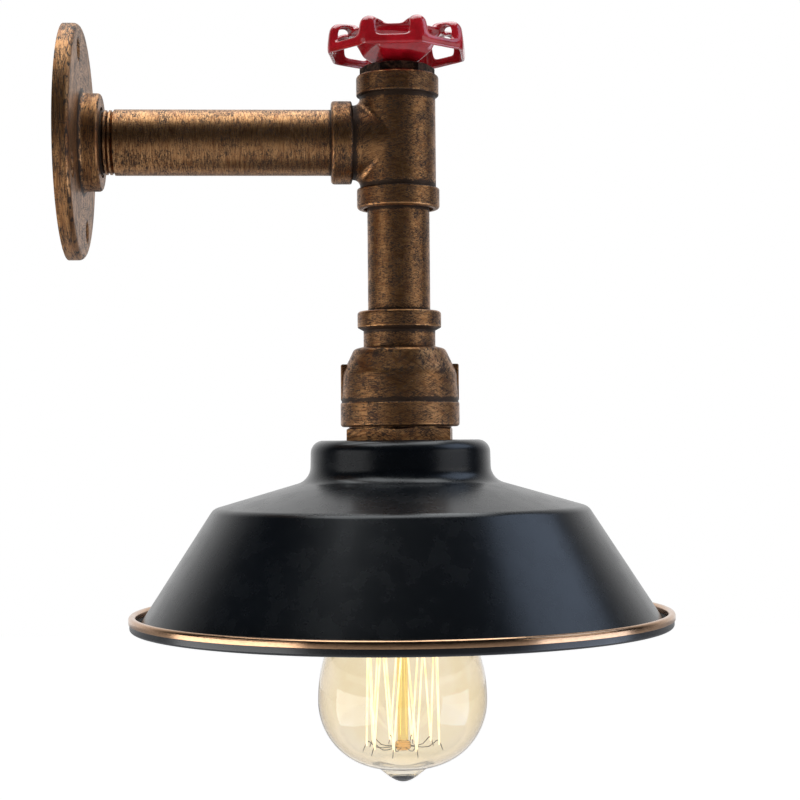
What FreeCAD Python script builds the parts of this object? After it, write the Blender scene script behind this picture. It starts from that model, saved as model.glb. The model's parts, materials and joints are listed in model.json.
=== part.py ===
"""Industrial pipe wall light: wall flange, pipe arm, tee with a red hand wheel, drop, shade and bulb.

Millimetres. The origin is the centre of the flange's back face, on the wall. +X runs out along the
arm, +Z is up. The stem, the vertical axis of the tee, shade and bulb, stands at X = arm_reach.
"""
import FreeCAD, Part
import math
import os
import re
import Sketcher

SIZES = {
    # pipework
    "arm_reach": 134.0,             # wall to stem axis
    "arm_diameter": 26.7,
    "arm_wall": 2.9,
    "arm_start": 1.5,               # pipe end to wall
    "pipe_thread_diameter": 25.2,   # made-up thread inside every fitting
    "thread_gap": 0.05,             # radial, between made-up threads
    "thread_crest_diameter": 26.1,  # threads left showing beside the flange
    "thread_root_depth": 1.0,
    "thread_pitch": 1.81,
    "thread_show": 4.6,
    "socket_depth": 14.0,
    "pipe_engagement": 12.0,        # how far a pipe goes into a socket
    "mouth_diameter": 28.6,         # relief at the mouth of a socket
    "mouth_depth": 1.6,
    "shoulder_gap": 0.3,            # pipe's full diameter ends this far above a mouth's floor
    # wall flange
    "flange_diameter": 95.0,
    "flange_thickness": 6.4,
    "flange_edge_round": 2.4,
    "flange_height": 14.1,
    "flange_hub_diameter": 39.5,
    "flange_hub_round": 1.4,
    "flange_hub_fillet": 2.2,
    "screw_hole_diameter": 8.0,
    "screw_hole_round": 1.4,
    "screw_circle_diameter": 75.0,
    "screw_circle_turn": 22.0,      # degrees
    # tee
    "tee_reach": 27.3,              # centre to each face
    "tee_body_diameter": 31.0,
    "tee_branch_diameter": 30.2,
    "tee_band_diameter": 33.7,
    "tee_band_width": 8.2,
    "tee_band_round": 1.3,
    "tee_band_step": 0.5,           # slope from the band down to the body
    "tee_crotch_round": 3.0,
    "tee_chamber_diameter": 21.4,
    # plug and wheel mounting
    "plug_flats": 26.6,
    "plug_hex_height": 4.0,
    "plug_thread_length": 11.0,
    "plug_chamfer_drop": 1.2,
    "stud_diameter": 6.0,
    "stud_depth": 10.0,             # into the plug
    "stud_gap": 0.02,
    "wheel_washer_diameter": 12.0,
    "wheel_washer_thickness": 0.8,
    "wheel_end_play": 0.05,
    "wheel_bore_gap": 0.06,
    "cap_washer_diameter": 13.0,
    "cap_washer_thickness": 1.0,
    "cap_nut_flats": 10.0,
    "cap_nut_hex_height": 3.6,
    "cap_nut_height": 6.4,
    "cap_nut_dome_inset": 0.8,
    "cap_nut_dome_root": 0.5,
    "hex_chamfer_inset": 0.4,
    "hex_chamfer_reach": 0.5,       # past the hexagon's corners
    # hand wheel, heights from the bottom of its hub
    "wheel_turn": 60.5,             # degrees
    "wheel_hub_diameter": 13.0,
    "wheel_hub_height": 8.4,
    "wheel_lobe_circle": 49.8,      # through the lobes' centres
    "wheel_lobe_radius": 4.7,
    "wheel_lobe_taper": 0.5,        # from the skirt up to the dome
    "wheel_lobe_wall": 1.5,
    "wheel_lobe_height": 11.0,      # to the lobes' centres
    "wheel_lobe_inset": 17.0,       # where the lobes start, from the axis
    "wheel_skirt_bottom": 2.6,
    "wheel_skirt_height": 4.4,
    "wheel_skirt_wall": 2.0,
    "wheel_plate_diameter": 41.0,
    "wheel_plate_top": 12.8,
    "wheel_plate_thickness": 1.6,
    "wheel_opening_wall": 3.4,      # outside the side openings in the lobes
    "wheel_opening_top": 13.4,
    "wheel_opening_round": 3.4,
    "funnel_bottom_corner": 9.2,
    "funnel_middle_corner": 15.8,
    "funnel_middle_height": 4.0,
    "funnel_top_corner": 20.2,
    "funnel_wall": 1.9,
    # drop nipple
    "nipple_diameter": 25.4,
    "nipple_wall": 2.9,
    "nipple_show": 41.7,
    # bell reducer, heights down from its top face
    "reducer_height": 47.0,
    "reducer_collar_diameter": 34.1,
    "reducer_collar_height": 6.6,
    "reducer_neck_diameter": 29.3,
    "reducer_neck_bottom": 14.4,
    "reducer_shoulder_diameter": 37.2,
    "reducer_shoulder_drop": 15.4,
    "reducer_bell_diameter": 46.3,
    "reducer_bell_drop": 25.0,
    "reducer_flare_diameter": 47.6,
    "reducer_band_diameter": 48.4,
    "reducer_band_height": 10.0,
    "reducer_round": 1.3,
    "reducer_shoulder_round": 2.6,
    "reducer_bell_round": 8.0,
    "reducer_wall": 3.4,
    "reducer_rib_width": 3.4,
    "reducer_rib_rise": 0.9,
    "reducer_rib_round": 0.72,
    "reducer_rib_top": 21.5,
    "reducer_rib_bottom": 36.5,
    "bushing_thread_diameter": 41.8,
    "bushing_thread_length": 14.4,
    # hexagon bushing
    "bushing_gap": 0.4,             # thread showing between reducer and hexagon
    "hex_flats": 41.7,
    "hex_height": 5.0,
    "hex_turn": 23.0,               # degrees
    "hex_chamfer_drop": 0.9,
    # lampshade, heights down from its top face
    "shade_wall": 1.4,
    "shade_hole_gap": 0.3,
    "shade_neck_diameter": 72.8,
    "shade_neck_draft": 0.4,
    "shade_neck_round": 5.0,
    "shade_flare_drop": 15.95,      # where neck and upper cone would meet
    "shade_flare_round": 7.2,
    "shade_shoulder_diameter": 152.0,
    "shade_shoulder_drop": 27.3,
    "shade_shoulder_round": 5.0,
    "shade_trough_width": 3.9,      # foot of the cone to the rim's outside
    "shade_foot_round": 1.7,
    "shade_rim_diameter": 220.0,
    "shade_rim_top": 69.2,
    "shade_rim_bottom": 75.2,
    "rim_bead_height": 3.0,
    "rim_bead_width": 2.9,
    "rim_recess": 0.4,              # bead stands out over the rim wall
    "rim_bead_round": 1.305,
    "shade_rim_foot_round": 1.26,
    # lampholder, heights from the shade's top face
    "holder_diameter": 35.8,
    "holder_wall": 1.4,
    "holder_rise": 15.4,
    "holder_drop": 28.6,
    "holder_lip": 1.5,
    "holder_lip_inner_round": 0.4,
    "holder_lip_outer_round": 0.6,
    "ring_diameter": 52.0,
    "ring_height": 5.0,
    "ring_notch_radius": 1.6,
    "ring_round": 0.8,
    "lid_thickness": 1.5,
    "insert_gap": 0.05,
    "insert_rise": 5.4,
    "insert_floor_drop": 12.2,
    "insert_cavity_diameter": 28.4,
    "insert_rivet_gap": 0.1,
    "screw_shell_diameter": 28.3,
    "screw_shell_wall": 0.5,
    "screw_shell_floor_hole": 18.0,
    "screw_shell_end_gap": 0.4,
    "contact_stem_diameter": 3.0,
    "contact_head_diameter": 8.4,
    "contact_head_height": 0.6,
    "terminal_width": 6.0,
    "terminal_length": 7.2,
    "terminal_height": 6.0,
    "terminal_overlap": 1.32,       # in over the wire's middle
    "terminal_screw_rise": 0.5,     # above the earth screw's end
    "terminal_screw_offset": 8.8,
    "terminal_screw_diameter": 3.0,
    "terminal_head_diameter": 3.8,
    "terminal_head_height": 1.4,
    "tag_thickness": 0.8,
    "tag_radius": 3.4,
    "earth_screw_offset": 11.0,
    "earth_screw_diameter": 3.0,
    "earth_head_diameter": 5.6,
    "earth_head_height": 2.2,
    "earth_screw_reach": 3.5,       # below the lid's top
    # wires
    "wire_diameter": 2.2,
    "wire_spread": 4.5,
    "wire_bend_radius": 20.0,
    "wire_hole_gap": 0.4,
    # bulb, heights down from the tip of its contact
    "contact_clearance": 0.2,
    "bulb_contact_diameter": 10.0,
    "bulb_contact_height": 1.3,
    "insulator_base_diameter": 25.2,
    "insulator_height": 3.4,
    "insulator_skirt": 1.2,         # down inside the cap's shell
    "cap_diameter": 26.2,
    "cap_wall": 0.4,
    "cap_length": 25.5,
    "cap_collar_diameter": 28.0,
    "cap_collar_height": 3.0,
    "cap_shoulder_round": 0.5,
    "glass_wall": 0.8,
    "glass_neck_diameter": 25.0,
    "glass_neck_drop": 32.0,
    "glass_diameter": 68.6,
    "glass_widest_drop": 92.2,
    "glass_upper_radius": 62.0,
    "glass_lower_radius": 29.8,
    "glass_base_diameter": 30.0,
    "glass_base_rise": 0.7,
    "glass_tip_diameter": 18.0,
    "glass_tip_height": 4.7,
    "glass_tip_round": 2.6,
    "glass_pip_diameter": 11.16,
    "glass_pip_round": 2.08,
    # inside the bulb
    "glass_part_gap": 0.1,
    "mount_wall": 1.1,
    "mount_top_drop": 27.5,
    "mount_tube_diameter": 8.0,
    "mount_tube_round": 3.0,
    "mount_tube_floor": 3.0,        # above the pinch
    "mount_tube_drop": 40.0,
    "mount_pinch_drop": 47.0,
    "rod_diameter": 4.4,
    "button_diameter": 6.4,
    "button_height": 3.6,
    "upper_button_round": 0.8,
    "lower_button_round": 1.2,
    "upper_button_drop": 57.0,
    "lower_button_rise": 9.1,       # above the lower end of the bowl
    "cage_upper_radius": 14.4,
    "cage_lower_radius": 14.8,
    "cage_strand_diameter": 0.75,
    "cage_hook_gap": 0.05,
    "hook_diameter": 0.6,
    "lead_diameter": 0.7,
}
CAGE_HOOKS = 9
CAGE_PITCH = 36.0       # degrees, one place of ten stays free between the two ends
WHEEL_LOBES = 8
SHOWN_THREADS = 3
RING_NOTCHES = 12
OVERSHOOT = 1.0         # how far a cutter runs past what it cuts
STEEP = 0.9             # rise per length of an edge that counts as upright
# shares of the shade's wall by which a corner inside it moves
FLARE_SHARE = 0.75
SHOULDER_SHARE = 0.41
SHOULDER_DROP_SHARE = 1.04
FOOT_SHARE = 0.65

PIPE_THREAD = "pipe_thread_diameter / 2"
SOCKET_BORE = "(pipe_thread_diameter / 2 + thread_gap)"
MOUTH = "mouth_diameter / 2"
STEM_REDUCER = "-(tee_reach + nipple_show)"
STEM_REDUCER_BOTTOM = "-(tee_reach + nipple_show + reducer_height)"
STEM_SHADE = "-(tee_reach + nipple_show + reducer_height + bushing_gap + hex_height)"
STEM_BULB = f"({STEM_SHADE} - insert_floor_drop - contact_head_height - contact_clearance)"
STEM_WHEEL = "(tee_reach + plug_hex_height + wheel_washer_thickness + wheel_end_play)"
STEM_LID = f"({STEM_SHADE} + holder_rise)"
HOLDER_BORE = "(holder_diameter / 2 - holder_wall)"
INSERT_RADIUS = f"({HOLDER_BORE} - insert_gap)"
SKIRT_APOTHEM = "(wheel_lobe_circle / 2 * cos(22.5deg) + wheel_lobe_radius)"
BOWL_END = ("(glass_widest_drop + sqrt(glass_lower_radius ^ 2"
            " - (glass_base_diameter / 2 - glass_diameter / 2 + glass_lower_radius) ^ 2))")
LOWER_BUTTON = f"({BOWL_END} - lower_button_rise)"

document = FreeCAD.newDocument("pipe_wall_light")
sheet = document.addObject("Spreadsheet::Sheet", "Sizes")
nodes = []


# ---------------------------------------------------------------- sheet and expressions
def fill_sheet():
    """Write every driving size to a cell of its own and give the cell its name."""
    for row, (name, size) in enumerate(SIZES.items(), start=1):
        sheet.set(f"A{row}", name)
        sheet.set(f"B{row}", str(size))
        sheet.setAlias(f"B{row}", name)
    document.recompute()


def bound(text):
    """Turn a formula over size names into one over the sheet's cells."""
    return re.sub(r"[a-z_]+[a-z]", lambda word: "Sizes." + word[0] if word[0] in SIZES else word[0], text)


def measure(text):
    """Value of a formula over size names, in millimetres."""
    result = sheet.evalExpression(bound(text))
    return float(getattr(result, "Value", result))


def bind(thing, **formulas):
    """Bind properties of an object to formulas; a double underscore stands for a dot."""
    for path, formula in formulas.items():
        thing.setExpression(path.replace("__", "."), bound(formula))


def place(thing, x="0", y="0", z="0", rotation=None):
    """Place an object at formulas for X, Y and Z, with a fixed or bound rotation."""
    if rotation is not None:
        thing.Placement = FreeCAD.Placement(FreeCAD.Vector(), rotation)
    for path, formula in (("x", x), ("y", y), ("z", z)):
        if formula != "0":
            thing.setExpression(f"Placement.Base.{path}", bound(formula))


ALONG_ARM = FreeCAD.Rotation(FreeCAD.Vector(0, 1, 0), 90)


def new_body(label, x="arm_reach", y="0", z="0", rotation=None):
    """Start a sub-part and register it as a node."""
    body = document.addObject("PartDesign::Body", label)
    body.Label = label
    place(body, x, y, z, rotation)
    nodes.append(body)
    return body


def origin_feature(body, role):
    """Plane or axis of a body's own origin."""
    return next(item for item in body.Origin.OriginFeatures if item.Role == role)


# ---------------------------------------------------------------- outlines
class Outline:
    """Sketch made of corners with bound places, rounded corners and bound arcs.

    A corner is (x, y) or (x, y, rounding). Between two corners, ("arc", radius, side) joins them
    by an arc: side 1 bulges to the right of the way forward, -1 to the left.
    """

    def __init__(self, body, name, plane, items, closed=True, lift=None):
        self.sketch = body.newObject("Sketcher::SketchObject", name)
        self.sketch.AttachmentSupport = [(origin_feature(body, plane), "")]
        self.sketch.MapMode = "FlatFace"
        if lift is not None:
            self.sketch.setExpression("AttachmentOffset.Base.z", bound(lift))
        self.closed = closed
        self.corners = [item for item in items if item[0] != "arc"]
        self.joins = self._read_joins(items)
        self.points = [self._vector(corner) for corner in self.corners]
        self._draw()

    @staticmethod
    def _vector(corner):
        return FreeCAD.Vector(measure(corner[0]), measure(corner[1]), 0)

    def _read_joins(self, items):
        joins = []
        for item in items:
            if item[0] == "arc":
                joins[-1] = item[1:]
            else:
                joins.append(None)
        return joins

    def _rounding(self, index):
        corner = self.corners[index]
        return corner[2] if len(corner) > 2 else None

    def _trims(self, index):
        """Where the lines into and out of a corner end: at the corner, or where its rounding starts."""
        point = self.points[index]
        if self._rounding(index) is None:
            return point, point
        before = (self.points[index - 1] - point).normalize()
        after = (self.points[(index + 1) % len(self.points)] - point).normalize()
        half = before.getAngle(after) / 2
        step = measure(self._rounding(index)) / math.tan(half)
        return point + before * step, point + after * step

    def _add_arc(self, start, end, radius, side):
        """Arc between two points; returns its number and the ends that lie at start and end."""
        chord = end - start
        across = FreeCAD.Vector(-chord.y, chord.x, 0).normalize()
        rise = math.sqrt(max(radius ** 2 - (chord.Length / 2) ** 2, 0))
        centre = start + chord / 2 + across * (rise * side)
        first, last = (start, end) if side > 0 else (end, start)
        angles = [math.atan2(p.y - centre.y, p.x - centre.x) for p in (first, last)]
        circle = Part.Circle(centre, FreeCAD.Vector(0, 0, 1), radius)
        number = self.sketch.addGeometry(Part.ArcOfCircle(circle, angles[0], angles[1]), False)
        return (number, 1, 2) if side > 0 else (number, 2, 1)

    def _pin(self, geometry, end, corner):
        """Fix a point at a corner's bound place."""
        for kind, formula in (("DistanceX", corner[0]), ("DistanceY", corner[1])):
            constraint = Sketcher.Constraint(kind, -1, 1, geometry, end, measure(formula))
            number = self.sketch.addConstraint(constraint)
            self.sketch.setExpression(f"Constraints[{number}]", bound(formula))

    def _set_radius(self, geometry, formula):
        number = self.sketch.addConstraint(Sketcher.Constraint("Radius", geometry, measure(formula)))
        self.sketch.setExpression(f"Constraints[{number}]", bound(formula))

    def _draw_runs(self):
        """Lines and arcs between the corners, as (number, start end, finish end)."""
        runs = []
        count = len(self.points)
        for index in range(count if self.closed else count - 1):
            following = (index + 1) % count
            start = self._trims(index)[1] if self._has_both_sides(index) else self.points[index]
            finish = self._trims(following)[0] if self._has_both_sides(following) else self.points[following]
            join = self.joins[index]
            if join is None:
                number = self.sketch.addGeometry(Part.LineSegment(start, finish), False)
                runs.append((number, 1, 2))
            else:
                run = self._add_arc(start, finish, measure(join[0]), join[1])
                self._set_radius(run[0], join[0])
                runs.append(run)
        return runs

    def _has_both_sides(self, index):
        return self.closed or 0 < index < len(self.points) - 1

    def _join_corner(self, index, arriving, leaving):
        corner = self.corners[index]
        rounding = self._rounding(index)
        if rounding is None:
            self.sketch.addConstraint(
                Sketcher.Constraint("Coincident", arriving[0], arriving[2], leaving[0], leaving[1]))
            self._pin(leaving[0], leaving[1], corner)
            return
        entry, leave = self._trims(index)
        turn = (self.points[index] - self.points[index - 1]).cross(
            self.points[(index + 1) % len(self.points)] - self.points[index]).z
        arc = self._add_arc(entry, leave, measure(rounding), 1 if turn > 0 else -1)
        apex = self.sketch.addGeometry(Part.Point(self.points[index]), True)
        self._pin(apex, 1, corner)
        for run in (arriving, leaving):
            self.sketch.addConstraint(Sketcher.Constraint("PointOnObject", apex, 1, run[0]))
        self.sketch.addConstraint(
            Sketcher.Constraint("Tangent", arriving[0], arriving[2], arc[0], arc[1]))
        self.sketch.addConstraint(Sketcher.Constraint("Tangent", arc[0], arc[2], leaving[0], leaving[1]))
        self._set_radius(arc[0], rounding)

    def _draw(self):
        runs = self._draw_runs()
        count = len(self.points)
        for index in range(count):
            if self._has_both_sides(index):
                self._join_corner(index, runs[index - 1], runs[index])
        if not self.closed:
            self._pin(runs[0][0], runs[0][1], self.corners[0])
            self._pin(runs[-1][0], runs[-1][2], self.corners[-1])


def circle_sketch(body, name, plane, x, y, radius, lift=None):
    """Sketch of one bound circle."""
    sketch = body.newObject("Sketcher::SketchObject", name)
    sketch.AttachmentSupport = [(origin_feature(body, plane), "")]
    sketch.MapMode = "FlatFace"
    if lift is not None:
        sketch.setExpression("AttachmentOffset.Base.z", bound(lift))
    centre = FreeCAD.Vector(measure(x), measure(y), 0)
    number = sketch.addGeometry(Part.Circle(centre, FreeCAD.Vector(0, 0, 1), measure(radius)), False)
    for kind, formula in (("DistanceX", x), ("DistanceY", y)):
        constraint = sketch.addConstraint(Sketcher.Constraint(kind, -1, 1, number, 3, measure(formula)))
        sketch.setExpression(f"Constraints[{constraint}]", bound(formula))
    constraint = sketch.addConstraint(Sketcher.Constraint("Radius", number, measure(radius)))
    sketch.setExpression(f"Constraints[{constraint}]", bound(radius))
    return sketch


# ---------------------------------------------------------------- features
def turn(body, items, name="profile", kind="Revolution"):
    """Revolve an outline of (radius, height) corners about the body's Z axis."""
    outline = Outline(body, f"{body.Name}_{name}", "XZ_Plane", items)
    feature = body.newObject(f"PartDesign::{kind}", f"{body.Name}_{name}_turned")
    feature.Profile = outline.sketch
    feature.ReferenceAxis = (outline.sketch, ["V_Axis"])
    feature.Angle = 360.0
    return feature


def solid(body, kind, name, at=("0", "0", "0"), rotation=None, **formulas):
    """Add or take away a primitive, its sizes bound to formulas."""
    feature = body.newObject(f"PartDesign::{kind}", f"{body.Name}_{name}")
    place(feature, *at, rotation=rotation)
    bind(feature, **formulas)
    return feature


def repeat(body, name, features, count, angle=360.0):
    """Repeat features about the body's Z axis."""
    pattern = body.newObject("PartDesign::PolarPattern", f"{body.Name}_{name}")
    pattern.Originals = features
    pattern.Axis = (origin_feature(body, "Z_Axis"), [""])
    pattern.Angle = angle
    pattern.Occurrences = count
    body.Tip = pattern
    return pattern


def join_sections(body, name, kind, sections):
    """Ruled loft through sketches."""
    loft = body.newObject(f"PartDesign::{kind}", f"{body.Name}_{name}")
    loft.Profile = sections[0]
    loft.Sections = sections[1:]
    loft.Ruled = True
    return loft


def ring_edges(shape, radius, height):
    """Names of the circular edges of one radius, centred on the Z axis at one height."""
    found = []
    for number, edge in enumerate(shape.Edges, start=1):
        curve = edge.Curve
        if not isinstance(curve, Part.Circle):
            continue
        on_height = abs(curve.Center.z - height) < 1e-4
        if on_height and abs(curve.Radius - radius) < 1e-4:
            found.append(f"Edge{number}")
    return found


def round_edges(body, base, edges, radius, name="rounded"):
    """Fillet named edges of a feature."""
    fillet = body.newObject("PartDesign::Fillet", f"{body.Name}_{name}")
    fillet.Base = (base, edges)
    bind(fillet, Radius=radius)
    return fillet


def own_shape(feature):
    """Shape of a feature in its body's own frame, after a recompute."""
    document.recompute()
    return feature.Shape.copy()


# ---------------------------------------------------------------- wall flange and arm
def make_wall_flange():
    """Round plate with a hub, a threaded bore and four plain holes with rounded mouths."""
    body = new_body("wall_flange", x="0", rotation=ALONG_ARM)
    turn(body, [
        (SOCKET_BORE, "0"),
        ("flange_diameter / 2", "0"),
        ("flange_diameter / 2", "flange_thickness", "flange_edge_round"),
        ("flange_hub_diameter / 2", "flange_thickness", "flange_hub_fillet"),
        ("flange_hub_diameter / 2", "flange_height", "flange_hub_round"),
        (MOUTH, "flange_height"),
        (MOUTH, "flange_height - mouth_depth"),
        (SOCKET_BORE, "flange_height - mouth_depth"),
    ])
    centre = ("screw_circle_diameter / 2 * cos(screw_circle_turn * 1deg)",
              "screw_circle_diameter / 2 * sin(screw_circle_turn * 1deg)",
              f"-{OVERSHOOT}")
    hole = solid(body, "SubtractiveCylinder", "hole", centre,
                 Radius="screw_hole_diameter / 2", Height=f"flange_thickness + 2 * {OVERSHOOT}")
    holes = repeat(body, "holes", [hole], 4)
    radius = measure("screw_hole_diameter / 2")
    mouths = ring_edges(own_shape(holes), radius, measure("flange_thickness"))
    round_edges(body, holes, mouths, "screw_hole_round")


def make_arm_pipe():
    """Straight pipe; a few threads are left showing beside the flange."""
    body = new_body("arm_pipe", x="0", rotation=ALONG_ARM)
    bore = "arm_diameter / 2 - arm_wall"
    tee_face = "arm_reach - tee_reach"
    turn(body, [
        (bore, "arm_start"),
        (PIPE_THREAD, "arm_start"),
        (PIPE_THREAD, "flange_height - mouth_depth"),
        ("thread_crest_diameter / 2", "flange_height - mouth_depth"),
        ("thread_crest_diameter / 2", "flange_height + thread_show"),
        ("arm_diameter / 2", "flange_height + thread_show + shoulder_gap"),
        ("arm_diameter / 2", f"{tee_face} + mouth_depth - shoulder_gap"),
        (PIPE_THREAD, f"{tee_face} + mouth_depth - shoulder_gap"),
        (PIPE_THREAD, f"{tee_face} + pipe_engagement"),
        (bore, f"{tee_face} + pipe_engagement"),
    ])
    first = "(flange_height + thread_pitch / 2)"
    groove = turn(body, [
        ("thread_crest_diameter / 2 - thread_root_depth", first),
        ("arm_diameter / 2 + 0.2", f"{first} - thread_pitch * 0.44"),
        ("arm_diameter / 2 + 0.2", f"{first} + thread_pitch * 0.44"),
    ], "thread", "Groove")
    row = body.newObject("PartDesign::LinearPattern", "arm_pipe_threads")
    row.Originals = [groove]
    row.Direction = (origin_feature(body, "Z_Axis"), [""])
    row.Occurrences = SHOWN_THREADS
    bind(row, Length=f"thread_pitch * {SHOWN_THREADS - 1}")
    body.Tip = row


# ---------------------------------------------------------------- tee
def make_pipe_tee():
    """Tee with banded sockets: the run stands on the stem, the branch faces the wall."""
    body = new_body("pipe_tee")
    towards_wall = FreeCAD.Rotation(FreeCAD.Vector(0, 1, 0), -90)
    solid(body, "AdditiveCylinder", "run", ("0", "0", "-tee_reach"),
          Radius="tee_body_diameter / 2", Height="2 * tee_reach")
    branch = solid(body, "AdditiveCylinder", "branch", rotation=towards_wall,
                   Radius="tee_branch_diameter / 2", Height="tee_reach")
    shape = own_shape(branch)
    crotch = [f"Edge{number}" for number, edge in enumerate(shape.Edges, start=1)
              if not isinstance(edge.Curve, (Part.Circle, Part.Line))]
    round_edges(body, branch, crotch, "tee_crotch_round", "crotch")
    band = [
        ("tee_branch_diameter / 2 - 1", "tee_reach - tee_band_width - tee_band_step"),
        ("tee_branch_diameter / 2", "tee_reach - tee_band_width - tee_band_step"),
        ("tee_band_diameter / 2", "tee_reach - tee_band_width", "tee_band_round / 2"),
        ("tee_band_diameter / 2", "tee_reach", "tee_band_round"),
        ("tee_branch_diameter / 2 - 1", "tee_reach"),
    ]
    turn(body, band, "upper_band")
    turn(body, [(corner[0], f"-({corner[1]})", *corner[2:]) for corner in reversed(band)], "lower_band")
    sideways = Outline(body, "pipe_tee_branch_outline", "XZ_Plane",
                       [(f"-({corner[1]})", corner[0], *corner[2:]) for corner in band])
    collar = body.newObject("PartDesign::Revolution", "pipe_tee_branch_band")
    collar.Profile = sideways.sketch
    collar.ReferenceAxis = (sideways.sketch, ["H_Axis"])
    collar.Angle = 360.0
    solid(body, "SubtractiveCylinder", "run_bore", ("0", "0", "-tee_reach - 1"),
          Radius="tee_chamber_diameter / 2", Height="2 * tee_reach + 2")
    solid(body, "SubtractiveCylinder", "branch_bore", rotation=towards_wall,
          Radius="tee_chamber_diameter / 2", Height="tee_reach + 1")
    turns = {"top": FreeCAD.Rotation(),
             "bottom": FreeCAD.Rotation(FreeCAD.Vector(0, 1, 0), 180),
             "side": towards_wall}
    for side, rotation in turns.items():
        outward = rotation.multVec(FreeCAD.Vector(0, 0, 1))
        bores = (("socket", SOCKET_BORE, "socket_depth"), ("mouth", MOUTH, "mouth_depth"))
        for name, radius, depth in bores:
            at = [f"{round(part)} * (tee_reach - {depth})" for part in outward]
            solid(body, "SubtractiveCylinder", f"{side}_{name}", at, rotation,
                  Radius=radius, Height=f"{depth} + {OVERSHOOT}")


# ---------------------------------------------------------------- plug and wheel mounting
def hexagon_with_chamfer(body, flats, height, drop):
    """Hexagon standing on the body's XY plane, its upper corners cut by a shallow cone."""
    solid(body, "AdditivePrism", "hexagon", Circumradius=f"{flats} / sqrt(3)", Height=height)
    corner = f"{flats} / sqrt(3) + hex_chamfer_reach"
    return turn(body, [
        (f"{flats} / 2 - hex_chamfer_inset", height),
        (corner, f"{height} - {drop}"),
        (corner, f"{height} + hex_chamfer_reach"),
        (f"{flats} / 2 - hex_chamfer_inset", f"{height} + hex_chamfer_reach"),
    ], "chamfer", "Groove")


def make_tee_plug():
    """Hexagon plug with its thread in the tee's top socket, tapped for the wheel's stud."""
    body = new_body("tee_plug", z="tee_reach")
    hexagon_with_chamfer(body, "plug_flats", "plug_hex_height", "plug_chamfer_drop")
    solid(body, "AdditiveCylinder", "thread", ("0", "0", "-plug_thread_length"),
          Radius=PIPE_THREAD, Height="plug_thread_length")
    solid(body, "SubtractiveCylinder", "stud_hole", ("0", "0", "plug_hex_height - stud_depth"),
          Radius="stud_diameter / 2 + stud_gap", Height=f"stud_depth + {OVERSHOOT}")


def make_wheel_stud():
    """Plain-shanked stud that stands in the plug; the wheel turns on it."""
    body = new_body("wheel_stud", z="tee_reach + plug_hex_height")
    top = ("wheel_washer_thickness + 2 * wheel_end_play + wheel_hub_height"
           " + cap_washer_thickness + cap_nut_hex_height")
    solid(body, "AdditiveCylinder", "shank", ("0", "0", "-stud_depth"),
          Radius="stud_diameter / 2", Height=f"stud_depth + {top}")


def make_washer(label, z, diameter, thickness):
    """Flat washer round the stud."""
    body = new_body(label, z=z)
    turn(body, [
        ("stud_diameter / 2 + stud_gap", "0"),
        (f"{diameter} / 2", "0"),
        (f"{diameter} / 2", thickness),
        ("stud_diameter / 2 + stud_gap", thickness),
    ])


def make_cap_nut():
    """Domed nut on the stud's upper end."""
    body = new_body("cap_nut", z=f"{STEM_WHEEL} + wheel_hub_height + wheel_end_play + cap_washer_thickness")
    hexagon_with_chamfer(body, "cap_nut_flats", "cap_nut_hex_height", "wheel_washer_thickness")
    dome = "(cap_nut_height - cap_nut_hex_height)"
    base = "(cap_nut_flats / 2 - cap_nut_dome_inset)"
    turn(body, [
        ("0", "cap_nut_hex_height - cap_nut_dome_root"),
        (base, "cap_nut_hex_height - cap_nut_dome_root"),
        (base, "cap_nut_hex_height"),
        ("arc", f"({base} ^ 2 + {dome} ^ 2) / (2 * {dome})", 1),
        ("0", "cap_nut_height"),
    ], "dome")
    solid(body, "SubtractiveCylinder", "tapping", ("0", "0", "-1"),
          Radius="stud_diameter / 2 + stud_gap", Height="cap_nut_hex_height + 1 + stud_gap")


# ---------------------------------------------------------------- hand wheel
def square(body, name, corner, height):
    """Square with its corners on the X and Y axes, lifted to a height."""
    outline = Outline(body, name, "XY_Plane",
                      [(corner, "0"), ("0", corner), (f"-({corner})", "0"), ("0", f"-({corner})")],
                      lift=height)
    return outline.sketch


def make_lobes(body, kind, wide, start):
    """Eight rounded bars, each with a dome and an upright, tapered nose, as solids or their hollows."""
    centre = "wheel_lobe_circle / 2"
    level = "wheel_lobe_height"
    radius = f"({wide} - wheel_lobe_taper)"
    skirt_top = "(wheel_skirt_bottom + wheel_skirt_height)"
    section = Outline(body, f"handwheel_{kind}_section", "YZ_Plane", [
        (f"-{radius}", level),
        (radius, level),
        ("arc", radius, 1),
        ("0", f"{level} + {radius}"),
        ("arc", radius, 1),
    ], lift=start)
    feature = "Pad" if kind == "Additive" else "Pocket"
    bar = body.newObject(f"PartDesign::{feature}", f"handwheel_{kind}_bar")
    bar.Profile = section.sketch
    bar.Reversed = kind == "Subtractive"
    bind(bar, Length=f"{centre} - {start}")
    dome = solid(body, f"{kind}Sphere", f"{kind}_dome", (centre, "0", level), Radius=radius)
    dome.Angle1 = 0.0
    foot = solid(body, f"{kind}Cylinder", f"{kind}_foot", (centre, "0", "wheel_skirt_bottom"),
                 Radius=wide, Height="wheel_skirt_height")
    nose = solid(body, f"{kind}Cone", f"{kind}_nose", (centre, "0", skirt_top),
                 Radius1=wide, Radius2=radius, Height=f"{level} - {skirt_top}")
    repeat(body, f"{kind}_lobes", [bar, dome, foot, nose], WHEEL_LOBES)


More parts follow.
